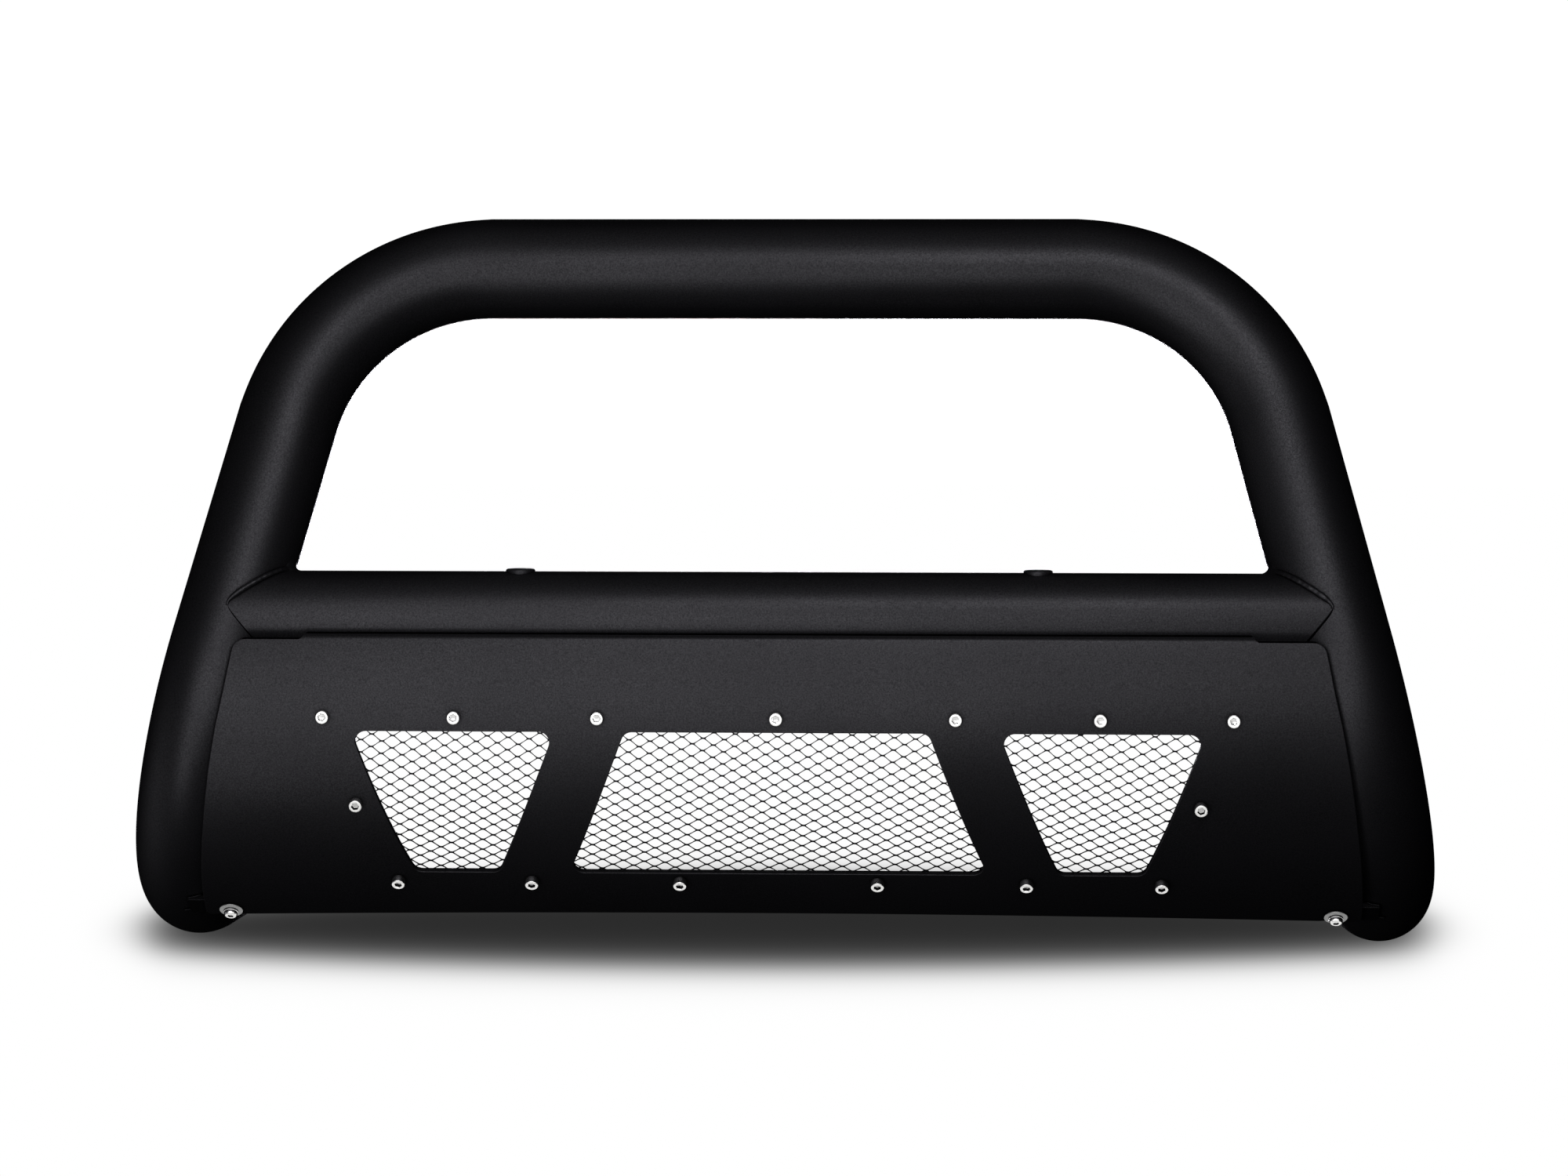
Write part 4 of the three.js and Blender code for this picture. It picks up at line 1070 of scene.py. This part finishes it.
def make_strands(panel, corners, low, high):
    points, faces, border = flat_web(panel, corners, low, high)
    push = outward_push(points, faces, border)
    front, back = BEHIND - 0.15, BEHIND - 1.0
    full = Shell()
    layers = []
    # the rims are eased a little: (inset, lift)
    for inset, lift in ((0.07, front), (0.0, front - 0.15), (0.0, back + 0.15), (0.07, back)):
        flat = points - push * inset
        layers.append(full.add(on_plate(flat[:, 0], flat[:, 1], lift)[0]))
    for face in faces:
        full.faces.append(tuple(layers[0][k] for k in face))
        full.faces.append(tuple(layers[3][k] for k in reversed(face)))
    for a, b in border:
        for upper, lower in zip(layers, layers[1:]):
            full.faces.append((upper[a], lower[a], lower[b], upper[b]))
    # the middle layers are used only along the border, so the other points go
    used = sorted({k for face in full.faces for k in face})
    renumber = {k: i for i, k in enumerate(used)}
    shell = Shell()
    shell.add([full.vertices[k] for k in used])
    shell.faces = [tuple(renumber[k] for k in face) for face in full.faces]
    piece(f"mesh_panel_{panel}", shell, "mesh_black", f"mesh_insert_{panel}", sharp=40)


def make_mesh_panel(panel):
    (a, b), (c, d) = MESHES[panel]
    corners = np.array([(a, MESH_TOP), (b, MESH_TOP), (d, MESH_FOOT), (c, MESH_FOOT)])
    low, high = corners.min(0) - 10, corners.max(0) + 10
    make_strands(panel, corners, low, high)
    # unexpanded margin round the opening, behind the plate
    outline = trapezoid(MESH_TOP, MESH_FOOT, MESHES[panel], 3, 4)
    holes = [window(panel)] + [hole(x, drop) for x, drop in PANEL_SCREWS[panel]]
    shell = sheet(outline, holes, BEHIND, BEHIND - MESH_T, on_plate,
                  np.arange(MESH_TOP + 3, MESH_FOOT, 4.0), np.arange(low[0], high[0], 9.0),
                  ease=0.25, step=4.0)
    piece(f"mesh_panel_{panel}_margin", shell, "mesh_black", f"mesh_insert_{panel}")


# ------------------------------------------------------------------ fasteners
# Profiles are rows of (radius, height), height 0 at the seat.
def hexagon(apothem, cap=math.inf, extra=0.0):
    """Radius of a hexagon by angle, its corners cut at `cap`, the whole grown by `extra`."""
    def radius(a):
        full = apothem / math.cos(((a + math.pi / 6) % (math.pi / 3)) - math.pi / 6)
        return min(full, cap) + extra
    return radius


def knurl(radius, depth, teeth):
    return lambda a: radius - depth * abs(2 * ((a * teeth / (2 * math.pi)) % 1.0) - 1)


def make_cap_screws():
    """Socket cap screws with knurled heads."""
    socket = hexagon(2.5)
    head = knurl(5.0, depth=0.13, teeth=36)
    profile = [(0.0, 2.35), (socket, 3.0), (socket, 5.72), (hexagon(2.5, extra=0.22), 5.96),
               (3.35, 6.0), (4.1, 6.0), (4.45, 5.93), (4.78, 5.68), (4.93, 5.3), (4.93, 5.0),
               (head, 4.85), (head, 0.95), (4.9, 0.8), (4.9, 0.35), (4.7, 0.06), (4.4, 0.0),
               (3.05, 0.0), (3.0, -0.4), (3.0, -2.6), *thread(-2.8, -8.2), (2.45, -8.75),
               (0.0, -8.8)]
    for k, (label, x, drop) in enumerate(SCREWS):
        shell = Shell().lathe(profile, seat(x, drop, GAP * 0.4, twist=0.35 + 1.7 * k), 72)
        piece(f"cap_screw_{label}", shell, "stainless", f"mesh_screw_{label}", sharp=32)


def make_thin_nuts():
    body, chamfer = hexagon(5.0, cap=5.62), hexagon(4.95, cap=5.25)
    profile = [(3.05, 0.0), (5.0, 0.0), (chamfer, -0.12), (body, -0.4), (body, -2.35),
               (chamfer, -2.62), (4.9, -2.7), (3.5, -2.7), (3.05, -2.3), (3.05, 0.0)]
    for label, x, drop in SCREWS:
        place = seat(x, drop, BEHIND - MESH_T - GAP, twist=math.pi / 6)
        piece(f"thin_nut_{label}", Shell().lathe(profile, place), "zinc", f"mesh_nut_{label}",
              sharp=30)


def flange_nut(x, drop, lift, twist):
    """Serrated flange nut, its flange at `lift` and its body behind it."""
    body, rim = hexagon(5.0, cap=5.65), knurl(6.95, depth=0.12, teeth=24)
    profile = [(3.05, 0.0), (6.6, 0.0), (rim, -0.2), (rim, -0.75), (6.5, -1.05),
               (hexagon(5.0, cap=5.65, extra=0.25), -1.55), (body, -1.9), (body, -5.3),
               (hexagon(4.95, cap=5.2), -5.75), (4.6, -6.0), (3.4, -6.0), (3.05, -5.6),
               (3.05, 0.0)]
    return Shell().lathe(profile, seat(x, drop, lift, twist))


def make_flange_nuts(side, label):
    shell = flange_nut(side * STUD_X, STUD_DROP, BEHIND - BRACKET_T - GAP, twist=0.4 + side)
    piece(f"bracket_nut_{label}", shell, "zinc", f"upper_stud_nut_{label}", sharp=30)
    shell = flange_nut(side * LOWER_BOLT_X, LOWER_BOLT_DROP, BEHIND - TAB_T - GAP,
                       twist=1.1 + side)
    piece(f"tab_nut_{label}", shell, "zinc", f"lower_bolt_nut_{label}", sharp=30)


def lock_washer(place):
    """A turn of square wire that lifts a little, cut at a slant."""
    section = np.array([(3.45, 0.0), (3.3, 0.15), (3.3, 1.4), (3.45, 1.55), (5.4, 1.55),
                        (5.6, 1.38), (5.6, 0.18), (5.4, 0.0)])
    radius, height = section.T
    slant, count = 0.10, 72
    shell = Shell()
    rings = []
    for k in range(count + 1):
        angle = math.radians(4 + 350 * k / count) + slant * (height - 0.8) / 1.5
        lift = 0.08 + 0.16 * (k / count - 0.5)
        local = np.stack([radius * np.cos(angle), radius * np.sin(angle), height + lift], 1)
        rings.append(shell.add(place(local)))
    shell.skin(rings, capped=True)
    return shell


def make_lower_bolt(side, label):
    """Fender washer, split lock washer and button head bolt, stacked on the plate."""
    x = side * LOWER_BOLT_X
    profile = [(3.3, 0.1), (3.2, 0.3), (3.2, 1.25), (3.4, 1.4), (8.55, 1.45), (8.88, 1.3),
               (9.0, 1.0), (9.0, 0.45), (8.85, 0.12), (8.5, 0.0), (3.5, 0.0), (3.3, 0.1)]
    shell = Shell().lathe(profile, seat(x, LOWER_BOLT_DROP, WASHER_LIFT), 96)
    piece(f"fender_washer_disc_{label}", shell, "stainless", f"lower_fender_washer_{label}",
          material="washer", sharp=50)

    lift = WASHER_LIFT + WASHER_T
    shell = lock_washer(seat(x, LOWER_BOLT_DROP, lift, twist=2.4 * side))
    piece(f"split_washer_{label}", shell, "stainless", f"lower_lock_washer_{label}", sharp=32)

    socket = hexagon(2.0)
    profile = [(0.0, 1.1), (socket, 1.5), (socket, 3.05), (hexagon(2.0, extra=0.2), 3.25),
               (2.75, 3.3), (3.1, 3.24)]
    for degrees in range(20, 91, 10):       # the domed head
        angle = math.radians(degrees)
        profile.append((3.1 + 2.15 * math.sin(angle) * 0.98,
                        3.24 * math.cos(angle) * 0.93 + 0.22))
    profile += [(5.2, 0.1), (5.0, 0.0), (3.05, 0.0), (3.0, -0.3), *thread(-0.6, -22.6),
                (2.45, -23.3), (0.0, -23.4)]
    place = seat(x, LOWER_BOLT_DROP, lift + LOCK_WASHER_T, twist=0.5 + side)
    piece(f"button_bolt_{label}", Shell().lathe(profile, place, 72), "stainless",
          f"lower_button_bolt_{label}", sharp=32)


# ------------------------------------------------------------------ lower tabs
def low_bend_centreline():
    """Points of the right leg's centre line about its low bend."""
    turn = math.acos(float(LEG_DIR @ REAR_DIR))
    length = LOW_BEND_R * math.tan(turn / 2)
    start = LOW_VERTEX - LEG_DIR * length
    inward = unit(REAR_DIR - LEG_DIR * (LEG_DIR @ REAR_DIR))
    centre = start + inward * LOW_BEND_R
    angles = np.linspace(0, turn, 60)[:, None]
    bend = centre + LOW_BEND_R * (np.sin(angles) * LEG_DIR - np.cos(angles) * inward)
    share = np.linspace(0, 1, 30)[1:, None]
    above = start - LEG_DIR * 200 * share[::-1]
    rear = LOW_VERTEX + REAR_DIR * length + REAR_DIR * (REAR_LENGTH - length) * share
    return np.concatenate([above, bend, rear])


CENTRELINE = low_bend_centreline()


def leg_contacts(places, side):
    """Where lines across, each at a (drop, lift), first reach the leg's wall going outwards."""
    contacts = []
    for drop, lift in places:
        _, y, z = on_plate(0.0, drop, lift)[0]
        for x in np.linspace(400.0, 470.0, 160):
            if np.linalg.norm(CENTRELINE - np.array([x, y, z]), axis=1).min() <= TUBE_R:
                contacts.append([side * x, y, z])
                break
    return contacts


def make_tab(side, label):
    """Tab behind the plate's lower corner, welded to the leg."""
    top, foot = 237.3, 257.0
    corners = [(402.0, top, 4), (453.0, top, 1.0), (453.0, foot, 1.0), (424.0, foot, 4),
               (402.0, 247.6, 3)]
    outline = rounded_polygon([(side * x, drop, radius) for x, drop, radius in corners], 6)
    shell = sheet(outline, [hole(side * LOWER_BOLT_X, LOWER_BOLT_DROP)], BEHIND, BEHIND - TAB_T,
                  on_plate, np.arange(238, 257, 4.0), np.arange(-452, 452.1, 6.0),
                  ease=0.6, step=3.0)
    node = f"lower_plate_tab_{label}"
    # the tab and its welds take the darker copy of the coat: painted shade
    piece(f"plate_tab_{label}", shell, "powder_coat", node, material="painted_shade_coat")

    # bead runs round the tab's end: (places, taper, seed)
    runs = [([(drop, BEHIND - TAB_T / 2 + lift) for lift in np.linspace(-2.4, 2.4, 9)], 2.0, drop)
            for drop in (top, foot)]
    runs += [([(drop, lift) for drop in np.linspace(238.0, 256.5, 21)], 2.5, lift)
             for lift in (BEHIND - 0.2, BEHIND - 4.8)]
    weld = Shell()
    for places, taper, seed in runs:
        points = leg_contacts(places, side)
        if len(points) >= 4:
            weld.bead(points, radius=0.9, sides=14, taper=taper, seed=seed)
    if weld.faces:
        piece(f"tab_weld_{label}", weld, "powder_coat", node, material="painted_shade_coat", sharp=60)


# ------------------------------------------------------------------ upper brackets
BRACKET_HALF, BRACKET_FOOT_DROP = 17.0, 54.0


def bracket_path():
    """(y, z) up the plate's back, round a corner, then back under the cross tube."""
    top = CROSS_Z - CROSS_R - GAP
    front = [on_plate(0.0, drop, BEHIND)[0][1:]
             for drop in np.arange(BRACKET_FOOT_DROP, 33.9, -1.0)]
    upward = unit(front[-1] - front[-2])
    rearward = np.array([1.0, 0.0])
    corner = front[-1] + upward * ((top - front[-1][1]) / upward[1])
    arc = corner_arc(front[-1], corner, corner + rearward * 20, radius=4.5, segments=10)
    run = [arc[-1] + rearward * (CROSS_Y + 12 - arc[-1][0]) * k / 12 for k in range(1, 13)]
    return np.array(front + arc + run)


def make_brackets():
    path = bracket_path()
    distance = along_path(path)
    tangents = np.gradient(path, axis=0)
    tangents /= np.linalg.norm(tangents, axis=1)[:, None]

    def mapping(x, along, lift):
        """Lift is towards the front, and upwards on the run under the tube."""
        y, z = (np.interp(along, distance, path[:, k]) for k in (0, 1))
        normal_y = np.interp(along, distance, -tangents[:, 1])
        normal_z = np.interp(along, distance, tangents[:, 0])
        length = np.hypot(normal_y, normal_z)
        normals = np.stack([0 * x, normal_y / length, normal_z / length], -1)
        return np.stack([x, y, z], -1) + lift[:, None] * normals, normals
    total = distance[-1]
    for side, label in SIDES:
        middle = side * STUD_X
        left, right = middle - BRACKET_HALF, middle + BRACKET_HALF
        outline = rounded_polygon([(left, 0, 4), (right, 0, 4), (right, total, 1.5),
                                   (left, total, 1.5)], 6)
        shell = sheet(outline, [hole(middle, BRACKET_FOOT_DROP - STUD_DROP)], 0.0, -BRACKET_T,
                      mapping, np.arange(1.5, total, 1.5),
                      np.arange(middle - 15, middle + 15.1, 5.0), ease=0.45, step=2.5)
        node = f"upper_plate_bracket_{label}"
        piece(f"plate_bracket_{label}", shell, "powder_coat", node)
        weld = Shell()
        for x in (left, right):
            points = [[x, y, CROSS_Z - math.sqrt(CROSS_R ** 2 - (y - CROSS_Y) ** 2) - 0.2]
                      for y in np.linspace(CROSS_Y - 9, CROSS_Y + 9, 24)]
            weld.bead(points, radius=2.3, sides=14, taper=2.5, seed=x)
        piece(f"bracket_weld_{label}", weld, "powder_coat", node, material="weld", sharp=60)


# ------------------------------------------------------------------ mounting ears
EAR_FRONT, EAR_REAR, EAR_FOOT, EAR_TOP, EAR_T = 66.0, 206.0, -508.0, -458.0, 8.0
EAR_X = REAR_END[0] - TUBE_R + 1.6         # outer face
SLOT_YS, SLOT_HALF_WIDTH, SLOT_HALF_HEIGHT = (152.0, 186.0), 7, 13


def make_ear(side, label):
    """Slotted upright plate on the inner side of the hoop's rear run."""
    outline = rounded_polygon([(EAR_FRONT, EAR_FOOT, 2), (EAR_REAR, EAR_FOOT, 12),
                               (EAR_REAR, EAR_TOP, 12), (EAR_FRONT, EAR_TOP, 2)], 10)
    middle = (EAR_FOOT + EAR_TOP) / 2
    slots = [rounded_polygon([(y + a * SLOT_HALF_WIDTH, middle + b * SLOT_HALF_HEIGHT, 6.99)
                              for a, b in ((-1, -1), (1, -1), (1, 1), (-1, 1))], 12)
             for y in SLOT_YS]

    def mapping(y, z, lift):
        normals = np.stack([side + 0 * y, 0 * y, 0 * y], -1)
        return np.stack([side * (EAR_X + lift) + 0 * y, y, z], -1), normals
    shell = sheet(outline, slots, 0.0, -EAR_T, mapping,
                  np.arange(EAR_FOOT + 4, EAR_TOP - 2, 7.0),
                  np.arange(EAR_FRONT + 4, EAR_REAR - 2, 8.0), ease=0.7, step=5.0)
    node = f"leg_mount_plate_{label}"
    piece(f"mount_ear_{label}", shell, "powder_coat", node)

    # a bead fills the wedge between the ear's outer face and the round wall
    weld = Shell()
    for z, start in ((EAR_FOOT, EAR_FRONT + 36), (EAR_TOP, EAR_FRONT + 2)):
        wall = math.sqrt(max(TUBE_R ** 2 - (z - LOW_VERTEX[2]) ** 2, 0))
        points = []
        for y in np.linspace(start, REAR_END[1] - 4, 60):
            axis_x = LOW_VERTEX[0] + REAR_DIR[0] * (y - LOW_VERTEX[1]) / REAR_DIR[1]
            points.append([side * min(axis_x - wall, EAR_X + 3.0), y, z])
        weld.bead(points, radius=3.4, sides=16, taper=4.0, seed=z)
    piece(f"ear_weld_{label}", weld, "powder_coat", node, material="weld", sharp=60)


def make_gap_shadow_line():
    """Painted shadow: near-black beads in the gap between the plate's upper edge and the cross
    tube, and along the top edges of the plate's outer ends.
    """
    z = on_plate(0.0, LIP_TOP, 0.0)[0][2] + 0.45
    y = CROSS_Y - math.sqrt(CROSS_R ** 2 - (z - CROSS_Z) ** 2) - 0.15
    shell = Shell()
    shell.bead([(x, y, z) for x in np.linspace(-350.5, 350.5, 200)], radius=0.60, sides=10,
               ripple=0.0, taper=4.0)
    _, y, z = on_plate(0.0, BEND_DROP, -1.7)[0]
    for side, _ in SIDES:
        shell.bead([(side * x, y, z + 0.35) for x in np.linspace(353.5, 397.0, 24)],
                   radius=0.95, sides=10, ripple=0.0, taper=3.0)
    piece("edge_shadow_line", shell, "powder_coat", "skid_plate", material="seam", sharp=60)


def for_sides(make):
    for side, label in SIDES:
        make(side, label)


make_hoop()
make_cross_tube()
for_sides(make_cope_weld)
for_sides(make_plug)
for_sides(make_end_cap)
make_plate()
for panel_name in MESHES:
    make_mesh_panel(panel_name)
make_cap_screws()
make_thin_nuts()
for_sides(make_flange_nuts)
for_sides(make_lower_bolt)
for_sides(make_tab)
make_brackets()
for_sides(make_ear)
make_gap_shadow_line()

# ------------------------------------------------------------------ camera
SENSOR, LENS = 36.0, 89.373582
AZIMUTH, ELEVATION, ROLL = (math.radians(a) for a in (2.356, 3.0, 0.072))
CAMERA_DISTANCE, CAMERA_TARGET = 2994.038, np.array([0.5, 0.0, -244.619])


def toward(azimuth, elevation):
    """Unit vector; azimuth in radians from the front (-Y) towards +X."""
    return np.array([math.sin(azimuth) * math.cos(elevation),
                     -math.cos(azimuth) * math.cos(elevation), math.sin(elevation)])


VIEW_BACK = toward(AZIMUTH, ELEVATION)
level_right = unit(np.cross(-VIEW_BACK, [0, 0, 1]))
level_up = np.cross(level_right, -VIEW_BACK)
VIEW_RIGHT = math.cos(ROLL) * level_right + math.sin(ROLL) * level_up
VIEW_UP = -math.sin(ROLL) * level_right + math.cos(ROLL) * level_up
EYE = (CAMERA_TARGET + CAMERA_DISTANCE * VIEW_BACK + OFFSET) / 1000.0


def make_camera():
    data = bpy.data.cameras.new("camera")
    data.sensor_fit = "HORIZONTAL"
    data.sensor_width = SENSOR
    data.lens = LENS
    data.clip_start, data.clip_end = 0.05, 60.0
    camera = bpy.data.objects.new("camera", data)
    bpy.context.scene.collection.objects.link(camera)
    columns = np.stack([VIEW_RIGHT, VIEW_UP, VIEW_BACK, EYE], 1)
    camera.matrix_world = Matrix([*columns.tolist(), [0, 0, 0, 1]])
    bpy.context.scene.camera = camera


make_camera()

# ------------------------------------------------------------------ floor
# Painted soft shadow in the floor's glow, laid out as the camera sees the floor: sizes in mm on the
# camera's sensor.
SHADOW_X, SHADOW_Y = 0.04662, -7.97472     # centre, right of and above the frame's middle
SHADOW_HALF_WIDTH, SHADOW_END = 16.42086, 14.6268      # of the oval; where its ends fade
SHADOW_ABOVE, SHADOW_BELOW = 1.29942, 0.69804          # the oval's reach from its centre
FEATHER_END, FEATHER_ABOVE, FEATHER_BELOW = 0.57006, 0.2799, 0.31338
SHADOW_DEPTH, SHADOW_POWER = 0.835, 1.82   # darkening; exponent of the oval
SHADER_UNITS = 2000.0 / SENSOR             # the shader counts 2000 units across the frame


def shadow_tone(sh):
    """Brightness of the floor with its painted shadow, 1 away from the shadow."""
    coords = sh.node("TexCoord").outputs["Object"]
    from_eye = sh.node("VectorMath")
    from_eye.operation = "SUBTRACT"
    sh.link(coords, from_eye.inputs[0])
    from_eye.inputs[1].default_value = tuple(EYE)
    ray = from_eye.outputs[0]
    focal = LENS * SHADER_UNITS

    def feathered(value, feather):
        """Soft step from 0 to 1 as the value passes zero."""
        slope = -1.702 / (feather * SHADER_UNITS)
        power = sh.math("MINIMUM", sh.math("MULTIPLY", value, slope), 30.0)
        power = sh.math("MAXIMUM", power, -30.0)
        return sh.math("DIVIDE", 1.0, sh.math("ADD", sh.math("EXPONENT", power), 1.0))
    depth = sh.math("MAXIMUM", sh.dot(ray, -VIEW_BACK), 0.3)
    x = sh.math("ADD", sh.math("DIVIDE", sh.dot(ray, VIEW_RIGHT * focal), depth),
                -SHADOW_X * SHADER_UNITS)
    down = sh.math("SUBTRACT", SHADOW_Y * SHADER_UNITS,
                   sh.math("DIVIDE", sh.dot(ray, VIEW_UP * focal), depth))
    width = sh.math("ABSOLUTE", x)
    oval = sh.math("DIVIDE", width, SHADOW_HALF_WIDTH * SHADER_UNITS)
    oval = sh.math("SUBTRACT", 1.0, sh.math("POWER", oval, SHADOW_POWER))
    oval = sh.math("POWER", sh.math("MAXIMUM", oval, 0.0), 1.0 / SHADOW_POWER)
    below = sh.math("MULTIPLY", oval, SHADOW_BELOW * SHADER_UNITS)
    below = feathered(sh.math("SUBTRACT", below, down), FEATHER_BELOW)
    above = sh.math("MULTIPLY", oval, SHADOW_ABOVE * SHADER_UNITS)
    above = feathered(sh.math("ADD", above, down), FEATHER_ABOVE)
    shadow = sh.math("MAXIMUM", sh.math("SUBTRACT", sh.math("ADD", above, below), 1.0), 0.0)
    ends = feathered(sh.math("SUBTRACT", SHADOW_END * SHADER_UNITS, width), FEATHER_END)
    shadow = sh.math("MULTIPLY", shadow, ends)
    tone = sh.math("SUBTRACT", 1.0, sh.math("MULTIPLY", shadow, SHADOW_DEPTH))
    # from display brightness to linear light
    return sh.math("POWER", sh.math("DIVIDE", sh.math("ADD", tone, 0.055), 1.055), 2.4)


def make_floor():
    count, half_size = 24, 14.0            # metres
    line = np.linspace(-1, 1, count)
    line = np.sign(line) * np.abs(line) ** 2.2 * half_size
    vertices = [(x, y, -0.0004) for y in line for x in line]
    faces = [(j * count + i, j * count + i + 1, (j + 1) * count + i + 1, (j + 1) * count + i)
             for j in range(count - 1) for i in range(count - 1)]
    mesh = bpy.data.meshes.new("studio_floor")
    mesh.from_pydata(vertices, [], faces)
    material = bpy.data.materials.new("studio_floor")
    sh = Shader(material)
    tone = shadow_tone(sh)
    emission = sh.node("Emission")
    sh.link(tone, emission.inputs["Strength"])
    sh.link(emission.outputs[0], sh.surface)
    mesh.materials.append(material)
    floor = bpy.data.objects.new("studio_floor", mesh)
    bpy.context.scene.collection.objects.link(floor)
    floor.visible_glossy = False
    floor.visible_diffuse = False
    floor.visible_shadow = False


make_floor()

# ------------------------------------------------------------------ light
COOL = (1.0, 0.98, 1.075)
# soft lobes of the world: (azimuth, elevation, strength), in degrees
LOBES = [(-80, -25, 0.314), (0, 20, 0.513), (0, 70, 0.130)]
LOBE_POWER = 12                            # the higher, the narrower


def make_world():
    """Three soft lobes in black surroundings; plain white to the camera."""
    world = bpy.data.worlds.new("studio")
    bpy.context.scene.world = world
    sh = Shader(world, output="OutputWorld")
    coords = sh.node("TexCoord").outputs["Generated"]
    total = None
    for azimuth, elevation, strength in LOBES:
        axis = toward(math.radians(azimuth), math.radians(elevation))
        lobe = sh.math("MAXIMUM", sh.dot(coords, axis), 0.0)
        lobe = sh.math("MULTIPLY", sh.math("POWER", lobe, LOBE_POWER), strength)
        total = lobe if total is None else sh.math("ADD", total, lobe)
    lit = sh.node("Background")
    lit.inputs["Color"].default_value = (*COOL, 1)
    sh.link(total, lit.inputs["Strength"])
    white = sh.node("Background")
    white.inputs["Color"].default_value = (1, 1, 1, 1)
    white.inputs["Strength"].default_value = 1.05
    path = sh.node("LightPath")
    mix = sh.node("MixShader")
    sh.link(path.outputs["Is Camera Ray"], mix.inputs[0])
    sh.link(lit.outputs[0], mix.inputs[1])
    sh.link(white.outputs[0], mix.inputs[2])
    sh.link(mix.outputs[0], sh.surface)


def add_light(data, direction):
    """Links a light that shines along a direction."""
    light = bpy.data.objects.new(data.name, data)
    bpy.context.scene.collection.objects.link(light)
    light.rotation_mode = "QUATERNION"
    light.rotation_quaternion = direction.to_track_quat("-Z", "Y")
    return light


def area_light(name, at, look, size, watts, receivers, tint=(1, 1, 1)):
    """Rectangular light, in metres, that lights only the receivers."""
    data = bpy.data.lights.new(name, "AREA")
    data.shape = "RECTANGLE"
    data.size, data.size_y = size
    data.energy = watts
    data.color = tint
    light = add_light(data, Vector(look) - Vector(at))
    light.location = at
    light.visible_camera = False
    light.light_linking.receiver_collection = receivers
    return light


def collect(name, wanted):
    """A collection of the scene's objects that pass a test."""
    collection = bpy.data.collections.new(name)
    for ob in list(bpy.context.scene.objects):
        if wanted(ob):
            collection.objects.link(ob)
    return collection


make_world()

# (name, place, aim, size, watts)
FILLS = [
    ("fill_front", (-0.3, -2.6, 0.55), (0, -0.1, 0.2), (2.2, 1.2), 16.0),
    ("fill_level", (0.0, -1.0, 0.05), (0, -0.1, 0.2), (2.2, 0.5), 4.0),
    ("fill_low", (0.0, -0.85, -0.42), (0, -0.1, 0.15), (2.2, 0.8), 6.0),
    ("fill_table", (0.0, 0.05, -0.60), (0, -0.05, 0.15), (2.2, 0.9), 6.5),
    ("fill_top", (0.0, -0.42, 1.25), (0, -0.1, 0.1), (1.6, 0.35), 3.2),
]
BRIGHT_SLOTS = ("stainless", "zinc")
bright = collect("bright_fasteners", lambda ob: ob.get("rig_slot") in BRIGHT_SLOTS)
for fastener in bright.objects:
    fastener.visible_diffuse = False
    fastener.visible_glossy = False
for fill in FILLS:
    area_light(*fill, receivers=bright)

# the coat's own soft boxes, a wall of them in front of the guard: (x, z, watts)
SOFT_BOXES = [
    (-0.75, 0.03, 0.45), (-0.35, 0.03, 0.45), (0.0, 0.03, 0.62), (-0.75, 0.33, 0.54),
    (-0.35, 0.33, 0.40), (0.0, 0.33, 0.18), (0.35, 0.33, 0.60), (-0.35, 0.72, 0.63),
    (0.0, 1.15, 1.42), (0.35, 1.15, 1.31), (0.75, 1.15, 0.62), (-0.9, -0.35, 0.59),
    (-0.35, -0.35, 0.29), (-0.9, -0.75, 0.96),
]
WALL_Y, WALL_AIM = -1.35, (0, -0.1, 0.28)
coated = collect("coated", lambda ob: ob.get("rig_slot")
                 and ob.get("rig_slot") not in BRIGHT_SLOTS)
for number, (box_x, box_z, box_watts) in enumerate(SOFT_BOXES, 1):
    area_light(f"soft_box_{number}", (box_x, WALL_Y, box_z), WALL_AIM, (0.45, 0.4), box_watts,
               coated, COOL)

# level light from straight behind, so that the back shows its form
rear = bpy.data.lights.new("rear_light", "SUN")
rear.energy, rear.angle, rear.color = 1.5, 0.20, COOL
add_light(rear, Vector(tuple(VIEW_BACK)))

# low light on the underside of the cross tube
cross_tube_only = collect("cross_tube_only", lambda ob: ob.name.startswith("cross_tube")
                          and ob.name in coated.objects)
bounce = area_light("table_bounce", (0.0, WALL_Y, -0.40), WALL_AIM, (1.2, 0.5), 1.9,
                    cross_tube_only, COOL)
bounce.light_linking.blocker_collection = cross_tube_only

bpy.context.scene.view_settings.view_transform = "Standard"
bpy.context.scene.view_settings.look = "None"

bpy.context.view_layer.update()
